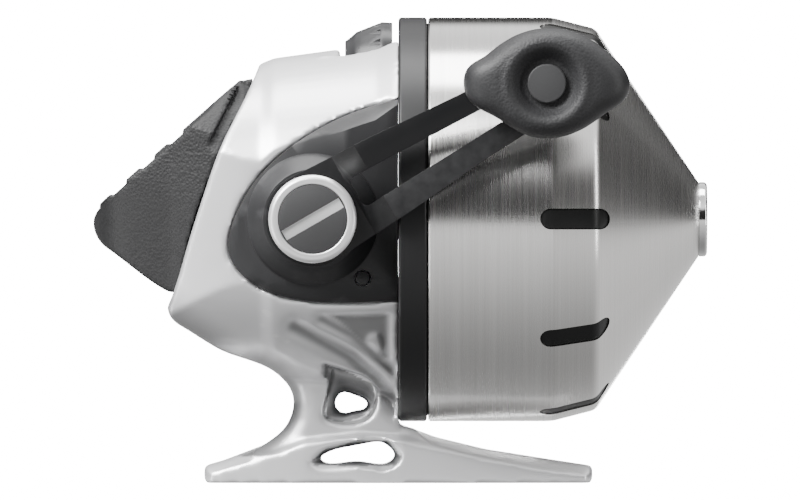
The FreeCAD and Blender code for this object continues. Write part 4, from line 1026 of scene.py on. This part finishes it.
def build_button():
    button = cast_copy("thumb_button", "button_cover", BUTTON_VOXEL, 7)
    spots = points_of(button)
    normals = np.empty(len(spots) * 3)
    button.data.vertices.foreach_get("normal", normals)
    normals = normals.reshape(-1, 3)
    x, z = spots[:, 0] / MM, spots[:, 2] / MM
    start, end = np.array(PADS[0][0]), np.array(PADS[-1][1])
    along = (end - start) / np.linalg.norm(end - start)
    place = (x - start[0]) * along[0] + (z - start[1]) * along[1]
    rise = np.zeros(len(x))
    for first, last in PADS:
        low = (np.array(first) - start).dot(along)
        high = (np.array(last) - start).dot(along)
        rise = np.maximum(rise, ramp(place, low, low + PAD_EASE) * ramp(-place, -high, -high + PAD_EASE))
    middle_part = ramp(-np.abs(spots[:, 1]) / MM, -13.5, -11.0)
    face = ramp(normals[:, 2], 0.25, 0.6) * ramp(-x, 22.3, 23.3) * middle_part
    spots += normals * (rise * face * PAD_RISE * MM)[:, None]
    set_points(button, spots)
    coarse = 0.35 + 0.65 * ramp(z + 0.35 * x, 28.0, 38.0)
    set_values(button, "grain", coarse)
    shade(button, 50)
    stand_for(button, "thumb_button", BUTTON_RUBBER)


build_button()


# Inside: turned brass and steel on the crank and pinion, zinc wheels, the black spool with its
# wound line, and the bushings. They show when the cover is off.

BRASS = finish_material("turned_brass", (0.62, 0.44, 0.17), (0.80, 0.62, 0.30), 0.26, 1.0,
                        grain=1800.0, relief=0.003, mottle=0.07)
STEEL = finish_material("turned_steel", (0.50, 0.50, 0.52), (0.72, 0.72, 0.72), 0.28, 1.0,
                        grain=2200.0, relief=0.003, mottle=0.05)
ZINC = finish_material("cast_zinc", (0.42, 0.43, 0.44), (0.60, 0.60, 0.60), 0.42, 1.0,
                       grain=2600.0, relief=0.006, mottle=0.08)
SPINNER_METAL = finish_material("spinner_metal", (0.60, 0.60, 0.61), (0.80, 0.80, 0.80), 0.22, 1.0,
                                grain=1800.0, relief=0.002, mottle=0.04)
SPOOL_BLACK = finish_material("spool_black", (0.022, 0.022, 0.024), (0.06, 0.06, 0.06), 0.38, 0.0,
                              grain=2400.0, relief=0.005, mottle=0.08)
INNER_LOOKS = {"steel": STEEL, "brass": BRASS, "zinc": ZINC, "spinner_metal": SPINNER_METAL,
               "spool_black": SPOOL_BLACK, "soft_rubber": BUTTON_RUBBER, "silver_body": SILVER,
               "ring_black": RING_BLACK, "side_plates": CHARCOAL, "liner_black": LINER_BLACK,
               "nut_steel": NUT_STEEL, "arm_black": ARM_BLACK, "disc_grey": DISC_GREY,
               "wheel_grey": WHEEL_GREY, "cover_steel": SCREW_STEEL, "nose_chrome": POLISHED}


def line_material():
    """Monofilament wound in level turns: fine ribs round the reel axis."""
    made = bpy.data.materials.new("wound_line")
    made.use_nodes = True
    nodes, links = made.node_tree.nodes, made.node_tree.links
    shader = nodes["Principled BSDF"]
    shader.inputs["Base Color"].default_value = (0.62, 0.66, 0.62, 1)
    shader.inputs["Roughness"].default_value = 0.24
    shader.inputs["Transmission Weight"].default_value = 0.25
    spot = nodes.new("ShaderNodeTexCoord")
    turns = nodes.new("ShaderNodeTexWave")
    turns.bands_direction = "X"
    turns.inputs["Scale"].default_value = 900.0
    turns.inputs["Distortion"].default_value = 1.2
    turns.inputs["Detail"].default_value = 1.0
    bump = nodes.new("ShaderNodeBump")
    bump.inputs["Distance"].default_value = 0.08 * MM
    links.new(spot.outputs["Object"], turns.inputs["Vector"])
    links.new(turns.outputs["Fac"], bump.inputs["Height"])
    links.new(bump.outputs["Normal"], shader.inputs["Normal"])
    return made


INNER_LOOKS["line"] = line_material()
for row in RECORD["subparts"]:
    node = frame["nodes"][row["node"]]
    node.data.materials.clear()
    node.data.materials.append(INNER_LOOKS[row["material_slot"]])
